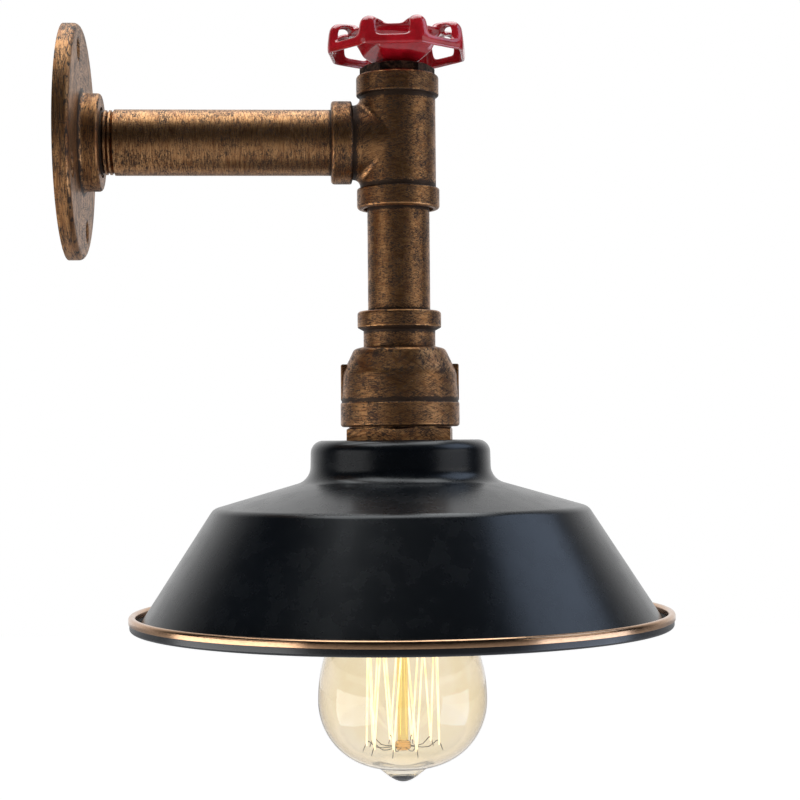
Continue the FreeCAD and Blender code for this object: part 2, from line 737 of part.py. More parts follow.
def make_skirt(body):
    """Ring with straight sides between the lobes, its corners round like them."""
    ring = solid(body, "AdditivePrism", "skirt", ("0", "0", "wheel_skirt_bottom"),
                 Circumradius=f"{SKIRT_APOTHEM} / cos(22.5deg)", Height="wheel_skirt_height")
    ring.Polygon = WHEEL_LOBES
    shape = own_shape(ring)
    uprights = [f"Edge{number}" for number, edge in enumerate(shape.Edges, start=1)
                if abs(edge.tangentAt(edge.FirstParameter).z) > STEEP]
    round_edges(body, ring, uprights, "wheel_lobe_radius", "skirt_corners")


def cut_skirt(body):
    """Inside of the skirt."""
    inside = solid(body, "SubtractivePrism", "skirt_inside", ("0", "0", f"wheel_skirt_bottom - {OVERSHOOT}"),
                   Circumradius=f"({SKIRT_APOTHEM} - wheel_skirt_wall) / cos(22.5deg)",
                   Height=f"wheel_skirt_height + {OVERSHOOT}")
    inside.Polygon = WHEEL_LOBES


def cut_side_openings(body):
    """Passages round the wheel: one opens every lobe to both sides, one clears the plate's underside."""
    inner = "wheel_plate_diameter / 2"
    outer = "wheel_lobe_circle / 2 + wheel_lobe_radius - wheel_opening_wall"
    skirt_top = "wheel_skirt_bottom + wheel_skirt_height"
    turn(body, [
        (inner, skirt_top),
        (outer, skirt_top),
        (outer, "wheel_opening_top", "wheel_opening_round"),
        (inner, "wheel_opening_top"),
    ], "openings", "Groove")
    nose_inside = f"wheel_lobe_circle / 2 - wheel_lobe_radius - {OVERSHOOT}"
    turn(body, [
        (nose_inside, f"wheel_skirt_bottom - {OVERSHOOT}"),
        (inner, f"wheel_skirt_bottom - {OVERSHOOT}"),
        (inner, "wheel_plate_top - wheel_plate_thickness"),
        (nose_inside, "wheel_plate_top - wheel_plate_thickness"),
    ], "clearance", "Groove")


def make_funnel(body):
    """Four-sided funnel between hub and top plate, open above."""
    plate_base = "wheel_plate_top - wheel_plate_thickness"
    outside = [
        square(body, "funnel_bottom", "funnel_bottom_corner", "0"),
        square(body, "funnel_middle", "funnel_middle_corner", "funnel_middle_height"),
        square(body, "funnel_top", "funnel_top_corner", plate_base),
    ]
    join_sections(body, "funnel", "AdditiveLoft", outside)
    solid(body, "AdditiveCylinder", "plate", ("0", "0", plate_base),
          Radius="wheel_plate_diameter / 2", Height="wheel_plate_thickness")
    inside = [
        square(body, "hollow_bottom", "funnel_bottom_corner - funnel_wall / 2", "funnel_wall"),
        square(body, "hollow_middle", "funnel_middle_corner - funnel_wall * 1.3",
               "funnel_middle_height + funnel_wall / 2"),
        square(body, "hollow_top", "funnel_top_corner - funnel_wall * 1.3", "wheel_plate_top"),
    ]
    join_sections(body, "hollow", "SubtractiveLoft", inside)
    solid(body, "AdditiveCylinder", "hub", Radius="wheel_hub_diameter / 2", Height="wheel_hub_height")
    solid(body, "SubtractiveCylinder", "bore", ("0", "0", f"-{OVERSHOOT}"),
          Radius="stud_diameter / 2 + wheel_bore_gap", Height=f"wheel_hub_height + 2 * {OVERSHOOT}")


def make_handwheel():
    """Eight-lobed wheel: skirt, hooded lobes with side openings, top plate, funnel and hub."""
    body = new_body("handwheel", z=STEM_WHEEL, rotation=FreeCAD.Rotation(FreeCAD.Vector(0, 0, 1), 1))
    body.setExpression("Placement.Rotation.Angle", bound("wheel_turn"))
    make_skirt(body)
    make_lobes(body, "Additive", "wheel_lobe_radius", "wheel_lobe_inset")
    cut_skirt(body)
    make_lobes(body, "Subtractive", "(wheel_lobe_radius - wheel_lobe_wall)", "wheel_plate_diameter / 2")
    cut_side_openings(body)
    make_funnel(body)


# ---------------------------------------------------------------- drop, reducer and bushing
def make_drop_nipple():
    """Short pipe between the tee's lower socket and the reducer."""
    body = new_body("drop_nipple")
    bore = "nipple_diameter / 2 - nipple_wall"
    shown = "mouth_depth - shoulder_gap"
    turn(body, [
        (bore, "-tee_reach + pipe_engagement"),
        (bore, f"{STEM_REDUCER} - pipe_engagement"),
        (PIPE_THREAD, f"{STEM_REDUCER} - pipe_engagement"),
        (PIPE_THREAD, f"{STEM_REDUCER} - ({shown})"),
        ("nipple_diameter / 2", f"{STEM_REDUCER} - ({shown})"),
        ("nipple_diameter / 2", f"-tee_reach + {shown}"),
        (PIPE_THREAD, f"-tee_reach + {shown}"),
        (PIPE_THREAD, "-tee_reach + pipe_engagement"),
    ])


def make_bell_reducer():
    """Bell-shaped reducing socket with a collar, a rounded shoulder, a lower band and two ribs."""
    body = new_body("bell_reducer", z=STEM_REDUCER)
    rib = solid(body, "AdditiveBox", "rib",
                ("-(reducer_bell_diameter / 2 + reducer_rib_rise)", "-reducer_rib_width / 2",
                 "-reducer_rib_bottom"),
                Length="reducer_bell_diameter + 2 * reducer_rib_rise", Width="reducer_rib_width",
                Height="reducer_rib_bottom - reducer_rib_top")
    shape = own_shape(rib)
    ends = [f"Edge{number}" for number, edge in enumerate(shape.Edges, start=1)
            if abs(abs(edge.CenterOfMass.x) - shape.BoundBox.XMax) < 1e-6]
    round_edges(body, rib, ends, "reducer_rib_round", "rib_rounds")
    band_top = "-(reducer_height - reducer_band_height)"
    turn(body, [
        ("0", "0"),
        ("reducer_collar_diameter / 2", "0", "reducer_round"),
        ("reducer_collar_diameter / 2", "-reducer_collar_height", "reducer_round / 2"),
        ("reducer_neck_diameter / 2", "-reducer_collar_height - reducer_round"),
        ("reducer_neck_diameter / 2", "-reducer_neck_bottom"),
        ("reducer_shoulder_diameter / 2", "-reducer_shoulder_drop", "reducer_shoulder_round"),
        ("reducer_bell_diameter / 2", "-reducer_bell_drop", "reducer_bell_round"),
        ("reducer_flare_diameter / 2", band_top),
        ("reducer_band_diameter / 2", f"{band_top} - reducer_round / 2"),
        ("reducer_band_diameter / 2", "-reducer_height", "reducer_round"),
        ("0", "-reducer_height"),
    ], "outside")
    turn(body, [
        ("0", f"{OVERSHOOT}"),
        ("0", f"-reducer_height - {OVERSHOOT}"),
        ("bushing_thread_diameter / 2 + thread_gap", f"-reducer_height - {OVERSHOOT}"),
        ("bushing_thread_diameter / 2 + thread_gap", "-reducer_height + bushing_thread_length + 1"),
        ("reducer_bell_diameter / 2 - reducer_wall", "-reducer_height + bushing_thread_length + 3"),
        ("reducer_bell_diameter / 2 - reducer_wall", "-reducer_bell_drop - 1"),
        (SOCKET_BORE, "-socket_depth"),
        (SOCKET_BORE, "-mouth_depth"),
        (MOUTH, "-mouth_depth"),
        (MOUTH, f"{OVERSHOOT}"),
    ], "inside", "Groove")


def make_hex_bushing():
    """Bushing: its thread is up in the reducer, its low hexagon shows, the lampholder screws into it."""
    body = new_body("hex_bushing", z=STEM_SHADE,
                    rotation=FreeCAD.Rotation(FreeCAD.Vector(0, 0, 1), 1))
    body.setExpression("Placement.Rotation.Angle", bound("hex_turn"))
    hexagon_with_chamfer(body, "hex_flats", "hex_height", "hex_chamfer_drop")
    solid(body, "AdditiveCylinder", "thread", ("0", "0", "hex_height"),
          Radius="bushing_thread_diameter / 2", Height="bushing_gap + bushing_thread_length")
    solid(body, "SubtractiveCylinder", "bore", ("0", "0", f"-{OVERSHOOT}"),
          Radius="holder_diameter / 2 + thread_gap",
          Height=f"hex_height + bushing_gap + bushing_thread_length + 2 * {OVERSHOOT}")


# ---------------------------------------------------------------- lampshade
def make_lampshade():
    """Spun shade of even wall: flat top, straight neck, two cones, a trough and an upturned rim."""
    body = new_body("lampshade", z=STEM_SHADE)
    hole = "holder_diameter / 2 + shade_hole_gap"
    neck = "shade_neck_diameter / 2"
    drafted = "(shade_neck_diameter / 2 + shade_neck_draft)"
    shoulder = "shade_shoulder_diameter / 2"
    foot = "(shade_rim_diameter / 2 - shade_trough_width)"
    wall_out = "(shade_rim_diameter / 2 - rim_recess)"
    wall_in = f"({wall_out} - shade_wall)"
    trough = "-(shade_rim_bottom - shade_wall)"
    bead_base = "-(shade_rim_top + rim_bead_height)"
    bead_round = "rim_bead_round"
    upper_step = f"shade_wall * {SHOULDER_DROP_SHARE}"
    turn(body, [
        (hole, "0"),
        (hole, "-shade_wall"),
        (f"{neck} - shade_wall", "-shade_wall", "shade_neck_round - shade_wall"),
        (f"{drafted} - shade_wall", f"-shade_flare_drop - shade_wall * {FLARE_SHARE}",
         "shade_flare_round + shade_wall"),
        (f"{shoulder} - shade_wall * {SHOULDER_SHARE}", f"-shade_shoulder_drop - {upper_step}",
         "shade_shoulder_round - shade_wall"),
        (f"{foot} - shade_wall * {FOOT_SHARE}", "-shade_rim_bottom", "shade_foot_round + shade_wall"),
        (wall_out, "-shade_rim_bottom", "shade_rim_foot_round"),
        (wall_out, bead_base),
        ("shade_rim_diameter / 2", bead_base, "rim_recess / 2"),
        ("shade_rim_diameter / 2", "-shade_rim_top", bead_round),
        ("shade_rim_diameter / 2 - rim_bead_width", "-shade_rim_top", bead_round),
        ("shade_rim_diameter / 2 - rim_bead_width", bead_base, "rim_recess / 2"),
        (wall_in, bead_base),
        (wall_in, trough),
        (foot, trough, "shade_foot_round"),
        (shoulder, "-shade_shoulder_drop", "shade_shoulder_round"),
        (drafted, "-shade_flare_drop", "shade_flare_round"),
        (neck, "0", "shade_neck_round"),
    ])


# ---------------------------------------------------------------- lampholder
def make_shade_ring():
    """Threaded ring under the shade's top, with grip notches round its edge."""
    body = new_body("shade_ring", z=f"{STEM_SHADE} - shade_wall - ring_height")
    bore = "holder_diameter / 2 + thread_gap"
    turn(body, [(bore, "0"), ("ring_diameter / 2", "0", "ring_round"),
                ("ring_diameter / 2", "ring_height", "ring_round"), (bore, "ring_height")])
    notch = solid(body, "SubtractiveCylinder", "notch",
                  ("ring_diameter / 2 + ring_notch_radius / 2", "0", f"-{OVERSHOOT}"),
                  Radius="ring_notch_radius", Height=f"ring_height + 2 * {OVERSHOOT}")
    repeat(body, "notches", [notch], RING_NOTCHES)


def make_lampholder_shell():
    """Threaded tube; the lip at its mouth carries the ceramic insert."""
    body = new_body("lampholder_shell", z=STEM_SHADE)
    turn(body, [
        (HOLDER_BORE, "holder_rise"),
        (HOLDER_BORE, "-holder_drop + holder_lip"),
        (f"{HOLDER_BORE} - holder_lip", "-holder_drop + holder_lip"),
        (f"{HOLDER_BORE} - holder_lip", "-holder_drop", "holder_lip_inner_round"),
        ("holder_diameter / 2", "-holder_drop", "holder_lip_outer_round"),
        ("holder_diameter / 2", "holder_rise"),
    ])


def make_lampholder_lid():
    """Lid in the shell's upper end, with a hole for each live wire and one for the earth screw."""
    body = new_body("lampholder_lid", z=f"{STEM_LID} - lid_thickness")
    solid(body, "AdditiveCylinder", "disc", Radius=INSERT_RADIUS, Height="lid_thickness")
    for side in (-1, 1):
        solid(body, "SubtractiveCylinder", f"wire_hole_{'live' if side > 0 else 'neutral'}",
              ("0", f"{side} * wire_spread", f"-{OVERSHOOT}"),
              Radius="wire_diameter / 2 + wire_hole_gap", Height=f"lid_thickness + 2 * {OVERSHOOT}")
    solid(body, "SubtractiveCylinder", "earth_hole", ("earth_screw_offset", "0", f"-{OVERSHOOT}"),
          Radius="earth_screw_diameter / 2 + stud_gap", Height=f"lid_thickness + 2 * {OVERSHOOT}")


def make_ceramic_insert():
    """Ceramic body: solid above, a cup for the screw shell below, a hole for the contact's stem."""
    body = new_body("ceramic_insert", z=STEM_SHADE)
    stem = "contact_stem_diameter / 2 + insert_rivet_gap"
    turn(body, [
        (stem, "insert_rise"),
        (stem, "-insert_floor_drop"),
        ("insert_cavity_diameter / 2", "-insert_floor_drop"),
        ("insert_cavity_diameter / 2", "-holder_drop + holder_lip"),
        (INSERT_RADIUS, "-holder_drop + holder_lip"),
        (INSERT_RADIUS, "insert_rise"),
    ])
    for side in (-1, 1):
        solid(body, "SubtractiveCylinder", f"screw_hole_{'live' if side > 0 else 'neutral'}",
              ("0", f"{side} * terminal_screw_offset", "insert_rise - earth_screw_reach"),
              Radius="terminal_screw_diameter / 2 + stud_gap", Height=f"earth_screw_reach + {OVERSHOOT}")


def make_screw_shell():
    """Brass shell that the bulb's cap screws into, with a floor round the centre contact."""
    body = new_body("screw_shell", z=f"{STEM_SHADE} - insert_floor_drop")
    outer = "screw_shell_diameter / 2"
    length = "(holder_drop - holder_lip - insert_floor_drop - screw_shell_end_gap)"
    turn(body, [
        ("screw_shell_floor_hole / 2", "0"),
        ("screw_shell_floor_hole / 2", "-screw_shell_wall"),
        (f"{outer} - screw_shell_wall", "-screw_shell_wall"),
        (f"{outer} - screw_shell_wall", f"-{length}"),
        (outer, f"-{length}"),
        (outer, "0"),
    ])


def make_centre_contact():
    """Riveted contact: a stem through the ceramic and a flat head for the bulb to press on."""
    body = new_body("centre_contact", z=f"{STEM_SHADE} - insert_floor_drop")
    turn(body, [
        ("0", "-contact_head_height"),
        ("contact_head_diameter / 2", "-contact_head_height", "0.25"),
        ("contact_head_diameter / 2", "0"),
        ("contact_stem_diameter / 2", "0"),
        ("contact_stem_diameter / 2", "insert_floor_drop + insert_rise + 0.6"),
        ("0", "insert_floor_drop + insert_rise + 0.6"),
    ])


def make_terminals():
    """Two brass blocks on the ceramic, and the screws that clamp the wires in them."""
    blocks = new_body("terminal_blocks", z=f"{STEM_SHADE} + insert_rise")
    screws = new_body("terminal_screws", z=f"{STEM_SHADE} + insert_rise")
    for side, name in ((1, "live"), (-1, "neutral")):
        inner_edge = "(wire_spread - terminal_overlap)"
        start = inner_edge if side > 0 else f"-({inner_edge} + terminal_length)"
        solid(blocks, "AdditiveBox", name, ("-terminal_width / 2", start, "0"),
              Length="terminal_width", Width="terminal_length", Height="terminal_height")
        solid(blocks, "SubtractiveCylinder", f"{name}_tapping",
              ("0", f"{side} * terminal_screw_offset", f"-{OVERSHOOT}"),
              Radius="terminal_screw_diameter / 2 + stud_gap", Height=f"terminal_height + 2 * {OVERSHOOT}")
        solid(screws, "AdditiveCylinder", f"{name}_shank",
              ("0", f"{side} * terminal_screw_offset", "-earth_screw_reach + terminal_screw_rise"),
              Radius="terminal_screw_diameter / 2",
              Height="terminal_height + earth_screw_reach - terminal_screw_rise")
        solid(screws, "AdditiveCylinder", f"{name}_head",
              ("0", f"{side} * terminal_screw_offset", "terminal_height"),
              Radius="terminal_head_diameter / 2", Height="terminal_head_height")


def make_earth_terminal():
    """Earth tag on the lid, its tail under the earth wire, held by a screw."""
    tag = new_body("earth_tag", z=STEM_LID)
    solid(tag, "AdditiveCylinder", "eye", ("earth_screw_offset", "0", "0"),
          Radius="tag_radius", Height="tag_thickness")
    solid(tag, "AdditiveBox", "tail", ("wire_spread - wire_diameter / 2", "-wire_diameter / 2", "0"),
          Length="earth_screw_offset - wire_spread", Width="wire_diameter", Height="tag_thickness")
    solid(tag, "SubtractiveCylinder", "hole", ("earth_screw_offset", "0", f"-{OVERSHOOT}"),
          Radius="earth_screw_diameter / 2 + stud_gap", Height=f"tag_thickness + 2 * {OVERSHOOT}")
    screw = new_body("earth_screw", z=STEM_LID)
    solid(screw, "AdditiveCylinder", "shank", ("earth_screw_offset", "0", "-earth_screw_reach"),
          Radius="earth_screw_diameter / 2", Height="earth_screw_reach + tag_thickness")
    solid(screw, "AdditiveCylinder", "head", ("earth_screw_offset", "0", "tag_thickness"),
          Radius="earth_head_diameter / 2", Height="earth_head_height")


# ---------------------------------------------------------------- wires
def make_wire(label, sideways, rise, end):
    """Wire from the wall along the arm, round the tee's corner and down the stem, as one tube.

    sideways is its Y, rise its height in the arm and its distance beyond the stem axis in the stem.
    """
    body = new_body(label, x="0", y=sideways)
    route = Outline(body, f"{label}_route", "XZ_Plane", [
        ("arm_start", rise),
        (f"arm_reach + {rise}", rise, f"wire_bend_radius + {rise}"),
        (f"arm_reach + {rise}", end),
    ], closed=False)
    section = circle_sketch(body, f"{label}_section", "YZ_Plane", "0", rise, "wire_diameter / 2",
                            lift="arm_start")
    pipe = body.newObject("PartDesign::AdditivePipe", f"{label}_tube")
    pipe.Profile = section
    pipe.Spine = (route.sketch, ["Edge1", "Edge2", "Edge3"])


def make_wires():
    """Live and neutral to the terminal blocks, earth to the tag on the lid."""
    block_top = f"{STEM_SHADE} + insert_rise + terminal_height"
    make_wire("live_wire", "wire_spread", "0", block_top)
    make_wire("neutral_wire", "-wire_spread", "0", block_top)
    make_wire("earth_wire", "0", "wire_spread", f"{STEM_LID} + tag_thickness")


# ---------------------------------------------------------------- bulb
def glass_profile(offset):
    """Upper and lower corners of the envelope, moved inwards by an offset."""
    neck = f"(glass_neck_diameter / 2 - {offset})"
    widest = f"(glass_diameter / 2 - {offset})"
    upper = f"(glass_upper_radius - {offset})"
    lower = f"(glass_lower_radius - {offset})"
    centre = "(glass_upper_radius - glass_diameter / 2)"
    rise = "(glass_widest_drop - glass_neck_drop)"
    # circle of the neck's flare, tangent to the neck and to the upper circle
    reach = f"({neck} + {centre})"
    flare = f"(({upper} ^ 2 - {rise} ^ 2 - {reach} ^ 2) / (2 * ({reach} - {upper})))"
    span = f"({upper} + {flare})"
    meet_radius = f"(-{centre} + ({reach} + {flare}) * {upper} / {span})"
    meet_drop = f"(-glass_widest_drop + {rise} * {upper} / {span})"
    base = "(glass_base_diameter / 2)"
    inset = "(glass_diameter / 2 - glass_lower_radius)"
    base_drop = f"(-glass_widest_drop - sqrt({lower} ^ 2 - ({base} - {inset}) ^ 2))"
    return neck, flare, meet_radius, meet_drop, upper, widest, lower, base, base_drop


def make_bulb_glass():
    """Envelope of even wall: neck, flare, pear-shaped bowl, flattened base and a solid tip."""
    body = new_body("bulb_glass", z=STEM_BULB)
    neck, flare, meet_r, meet_z, upper, widest, lower, base, base_z = glass_profile("0")
    in_neck, in_flare, in_meet_r, in_meet_z, in_upper, in_widest, in_lower, in_base, in_base_z = (
        glass_profile("glass_wall"))
    top = "-cap_length + 2 * cap_collar_height"
    floor = f"({base_z} - glass_base_rise)"
    tip = "glass_tip_diameter / 2"
    turn(body, [
        (in_neck, top),
        (in_neck, "-glass_neck_drop"),
        ("arc", in_flare, 1),
        (in_meet_r, in_meet_z),
        ("arc", in_upper, -1),
        (in_widest, "-glass_widest_drop"),
        ("arc", in_lower, -1),
        (in_base, in_base_z),
        ("0", f"{floor} + glass_wall"),
        ("0", f"{floor} - glass_tip_height"),
        ("glass_pip_diameter / 2", f"{floor} - glass_tip_height", "glass_pip_round"),
        (tip, floor, "glass_tip_round"),
        (base, base_z),
        ("arc", lower, 1),
        (widest, "-glass_widest_drop"),
        ("arc", upper, 1),
        (meet_r, meet_z),
        ("arc", flare, -1),
        (neck, "-glass_neck_drop"),
        (neck, top),
    ])


def make_glass_mount():
    """Flared glass foot, pinch and rod with an upper and a lower button."""
    body = new_body("glass_mount", z=STEM_BULB)
    flare = "(glass_neck_diameter / 2 - glass_wall - glass_part_gap)"
    tube = "mount_tube_diameter / 2"
    rod = "rod_diameter / 2"
    button = "button_diameter / 2"
    turn(body, [
        (f"{flare} - mount_wall", "-mount_top_drop"),
        (flare, "-mount_top_drop"),
        (tube, "-mount_tube_drop", "mount_tube_round"),
        (tube, "-mount_pinch_drop"),
        (rod, "-mount_pinch_drop - rod_diameter / 2"),
        (rod, "-upper_button_drop + button_height / 2"),
        (button, "-upper_button_drop + button_height / 2", "upper_button_round"),
        (button, "-upper_button_drop - button_height / 2", "upper_button_round"),
        (rod, "-upper_button_drop - button_height / 2"),
        (rod, f"-{LOWER_BUTTON} + button_height / 2"),
        (button, f"-{LOWER_BUTTON} + button_height / 2", "upper_button_round"),
        (button, f"-{LOWER_BUTTON} - button_height / 2", "lower_button_round"),
        ("0", f"-{LOWER_BUTTON} - button_height / 2"),
        ("0", "-mount_pinch_drop + mount_tube_floor"),
        (f"{tube} - mount_wall", "-mount_pinch_drop + mount_tube_floor"),
        (f"{tube} - mount_wall", "-mount_tube_drop", "mount_tube_round"),
    ])


def make_bulb_cap():
    """Cap's metal shell, open at both ends, with a collar round the glass."""
    body = new_body("bulb_cap", z=STEM_BULB)
    top = "-(bulb_contact_height + insulator_height)"
    outer = "cap_diameter / 2"
    collar = "cap_collar_diameter / 2"
    turn(body, [
        (f"{outer} - cap_wall", top),
        (outer, top),
        (outer, "-cap_length + cap_collar_height", "cap_shoulder_round"),
        (collar, "-cap_length + cap_collar_height / 2"),
        (collar, "-cap_length"),
        (f"{collar} - cap_wall", "-cap_length"),
        (f"{collar} - cap_wall", "-cap_length + cap_collar_height / 2"),
        (f"{outer} - cap_wall", "-cap_length + cap_collar_height", "cap_shoulder_round"),
    ])


def make_bulb_insulator():
    """Black glass cone between the cap's shell and its contact."""
    body = new_body("bulb_insulator", z=STEM_BULB)
    low = "-(bulb_contact_height + insulator_height"
    turn(body, [
        ("0", "-bulb_contact_height"),
        ("0", f"{low} + insulator_skirt)"),
        ("insulator_base_diameter / 2", f"{low} + insulator_skirt)"),
        ("insulator_base_diameter / 2", f"{low})"),
        ("bulb_contact_diameter / 2", "-bulb_contact_height"),
    ])


def make_bulb_contact():
    """Solder-tipped contact, slightly domed."""
    body = new_body("bulb_contact", z=STEM_BULB)
    turn(body, [
        ("0", "0"),
        ("0", "-bulb_contact_height"),
        ("bulb_contact_diameter / 2", "-bulb_contact_height"),
        ("bulb_contact_diameter / 2", "0", "0.7"),
    ])


def make_supports(label, drop, reach, start, count):
    """Radial wires from a button out to the filament."""
    body = new_body(label, z=f"{STEM_BULB} - {drop}",
                    rotation=FreeCAD.Rotation(FreeCAD.Vector(0, 0, 1), start))
    outward = FreeCAD.Rotation(FreeCAD.Vector(0, 1, 0), 90)
    foot = "(button_diameter / 2 + cage_hook_gap)"
    wire = solid(body, "AdditiveCylinder", "wire", (foot, "0", "0"), outward, Radius="hook_diameter / 2",
                 Height=f"{reach} - cage_strand_diameter / 2 - cage_hook_gap - {foot}")
    repeat(body, "wires", [wire], count, CAGE_PITCH * (count - 1))


def strand(body, name, kind, turn_degrees):
    """Slanting filament strand from a lower hook up to the hook half a pitch round."""
    low = circle_sketch(body, f"{name}_low", "XY_Plane", "cage_lower_radius", "0",
                        "cage_strand_diameter / 2", lift=f"-{LOWER_BUTTON}")
    high = circle_sketch(body, f"{name}_high", "XY_Plane", f"cage_upper_radius * cos({turn_degrees}deg)",
                         f"cage_upper_radius * sin({turn_degrees}deg)", "cage_strand_diameter / 2",
                         lift="-upper_button_drop")
    return join_sections(body, name, kind, [low, high])


def make_filament():
    """Squirrel cage: one thread up and down between the hooks, open between its two ends."""
    body = new_body("filament", z=STEM_BULB)
    rising = strand(body, "rising", "AdditiveLoft", CAGE_PITCH / 2)
    falling = strand(body, "falling", "AdditiveLoft", -CAGE_PITCH / 2)
    repeat(body, "strands", [rising, falling], CAGE_HOOKS, CAGE_PITCH * (CAGE_HOOKS - 1))


def make_lead_wires():
    """Two wires from the pinch out to the ends of the filament."""
    body = new_body("lead_wires", z=STEM_BULB)
    ends = {"first": -CAGE_PITCH / 2, "last": CAGE_PITCH * (CAGE_HOOKS - 1 / 2)}
    for name, angle in ends.items():
        foot = circle_sketch(body, f"{name}_foot", "XY_Plane",
                             f"(mount_tube_diameter / 2 + lead_diameter) * cos({angle}deg)",
                             f"(mount_tube_diameter / 2 + lead_diameter) * sin({angle}deg)",
                             "lead_diameter / 2", lift="-mount_pinch_drop + lead_diameter")
        head = circle_sketch(body, f"{name}_head", "XY_Plane",
                             f"cage_upper_radius * cos({angle}deg)", f"cage_upper_radius * sin({angle}deg)",
                             "lead_diameter / 2",
                             lift="-upper_button_drop + cage_hook_gap")
        join_sections(body, name, "AdditiveLoft", [foot, head])


# ---------------------------------------------------------------- run
def build():
    """Make every sub-part."""
    make_wall_flange()
    make_arm_pipe()
    make_pipe_tee()
    make_tee_plug()
    make_wheel_stud()
    make_washer("wheel_washer", "tee_reach + plug_hex_height", "wheel_washer_diameter",
                "wheel_washer_thickness")
    make_handwheel()
    make_washer("cap_washer", f"{STEM_WHEEL} + wheel_hub_height + wheel_end_play", "cap_washer_diameter",
                "cap_washer_thickness")
    make_cap_nut()
    make_drop_nipple()
    make_bell_reducer()
    make_hex_bushing()
    make_lampshade()
    make_shade_ring()
    make_lampholder_shell()
    make_lampholder_lid()
    make_ceramic_insert()
    make_screw_shell()
    make_centre_contact()
    make_terminals()
    make_earth_terminal()
    make_wires()
    make_bulb_glass()
    make_glass_mount()
    make_bulb_cap()
    make_bulb_insulator()
    make_bulb_contact()
    make_supports("lower_supports", LOWER_BUTTON, "cage_lower_radius", 0, CAGE_HOOKS)
    make_supports("upper_supports", "upper_button_drop", "cage_upper_radius", CAGE_PITCH / 2, CAGE_HOOKS - 1)
    make_filament()
    make_lead_wires()
    document.recompute()


def check():
    """Stop if an object failed or a node's shape is empty or not valid."""
    failed = [item.Name for item in document.Objects
              if any(state in ("Invalid", "Error") for state in item.State)]
    failed += [body.Label for body in nodes if body.Shape.isNull() or not body.Shape.isValid()]
    if failed:
        raise RuntimeError("failed: " + ", ".join(failed))


def write():
    """Write each node's shape to its own file."""
    os.makedirs("parts", exist_ok=True)
    for body in nodes:
        body.Shape.exportStep(f"parts/{body.Label}.step")
        box = body.Shape.BoundBox
        print(f"{body.Label:18} solids {len(body.Shape.Solids)} volume {body.Shape.Volume:10.1f} "
              f"x {box.XMin:7.2f} {box.XMax:7.2f} y {box.YMin:7.2f} {box.YMax:7.2f} "
              f"z {box.ZMin:8.2f} {box.ZMax:8.2f}")


fill_sheet()
build()
check()
write()
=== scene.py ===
"""Pipe wall light with a red hand wheel, dressed and lit as in a studio photograph.

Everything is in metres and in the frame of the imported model: +X out of the wall along the arm, +Z up,
the stem at the centre of the tee. Finishes give their patterns in millimetres.
"""
from __future__ import annotations

import json
import logging
import math
from dataclasses import dataclass, field
from enum import Enum
from functools import cache

import bpy
from mathutils import Matrix, Vector

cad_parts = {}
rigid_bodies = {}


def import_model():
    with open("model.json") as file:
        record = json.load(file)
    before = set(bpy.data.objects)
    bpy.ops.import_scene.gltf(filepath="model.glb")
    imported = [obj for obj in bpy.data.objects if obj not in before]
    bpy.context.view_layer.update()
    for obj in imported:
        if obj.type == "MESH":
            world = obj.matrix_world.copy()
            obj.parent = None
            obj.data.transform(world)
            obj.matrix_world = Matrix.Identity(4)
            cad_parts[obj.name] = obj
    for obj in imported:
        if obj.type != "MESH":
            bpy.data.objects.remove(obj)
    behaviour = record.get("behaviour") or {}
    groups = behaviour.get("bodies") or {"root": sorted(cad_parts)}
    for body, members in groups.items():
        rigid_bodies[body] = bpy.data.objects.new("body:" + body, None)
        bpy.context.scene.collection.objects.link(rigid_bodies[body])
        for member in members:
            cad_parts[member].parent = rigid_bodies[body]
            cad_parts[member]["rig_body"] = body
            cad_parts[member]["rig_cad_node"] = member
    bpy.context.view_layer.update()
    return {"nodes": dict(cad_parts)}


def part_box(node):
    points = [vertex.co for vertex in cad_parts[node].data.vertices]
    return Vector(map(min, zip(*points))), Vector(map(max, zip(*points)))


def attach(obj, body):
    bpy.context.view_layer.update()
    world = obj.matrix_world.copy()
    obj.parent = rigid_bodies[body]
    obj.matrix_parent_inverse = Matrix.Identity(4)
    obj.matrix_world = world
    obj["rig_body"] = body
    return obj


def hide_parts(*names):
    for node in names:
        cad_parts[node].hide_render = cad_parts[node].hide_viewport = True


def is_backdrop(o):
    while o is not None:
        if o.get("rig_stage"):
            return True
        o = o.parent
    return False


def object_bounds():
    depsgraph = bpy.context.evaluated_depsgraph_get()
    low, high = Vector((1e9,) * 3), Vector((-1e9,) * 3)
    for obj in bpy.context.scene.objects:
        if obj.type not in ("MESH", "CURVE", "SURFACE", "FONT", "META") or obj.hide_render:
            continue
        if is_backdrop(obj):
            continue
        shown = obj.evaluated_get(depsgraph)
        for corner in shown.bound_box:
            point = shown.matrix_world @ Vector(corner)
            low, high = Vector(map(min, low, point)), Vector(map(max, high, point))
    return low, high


LOG = logging.getLogger("wall_light")
MM = 0.001
Colour = tuple[float, float, float]
Point = tuple[float, float, float]
Pair = tuple[float, float]
Socket = bpy.types.NodeSocket
Sockets = tuple[Socket, ...]
Piece = bpy.types.Object
WHITE: Colour = (1.0, 1.0, 1.0)


class Axis(Enum):
    """Axis that a turned piece was brushed round."""

    ARM = "X"
    STEM = "Z"


class Body(Enum):
    """Rigid bodies of the light."""

    FIXTURE = "fixture"
    WHEEL = "wheel"
    BULB = "bulb"


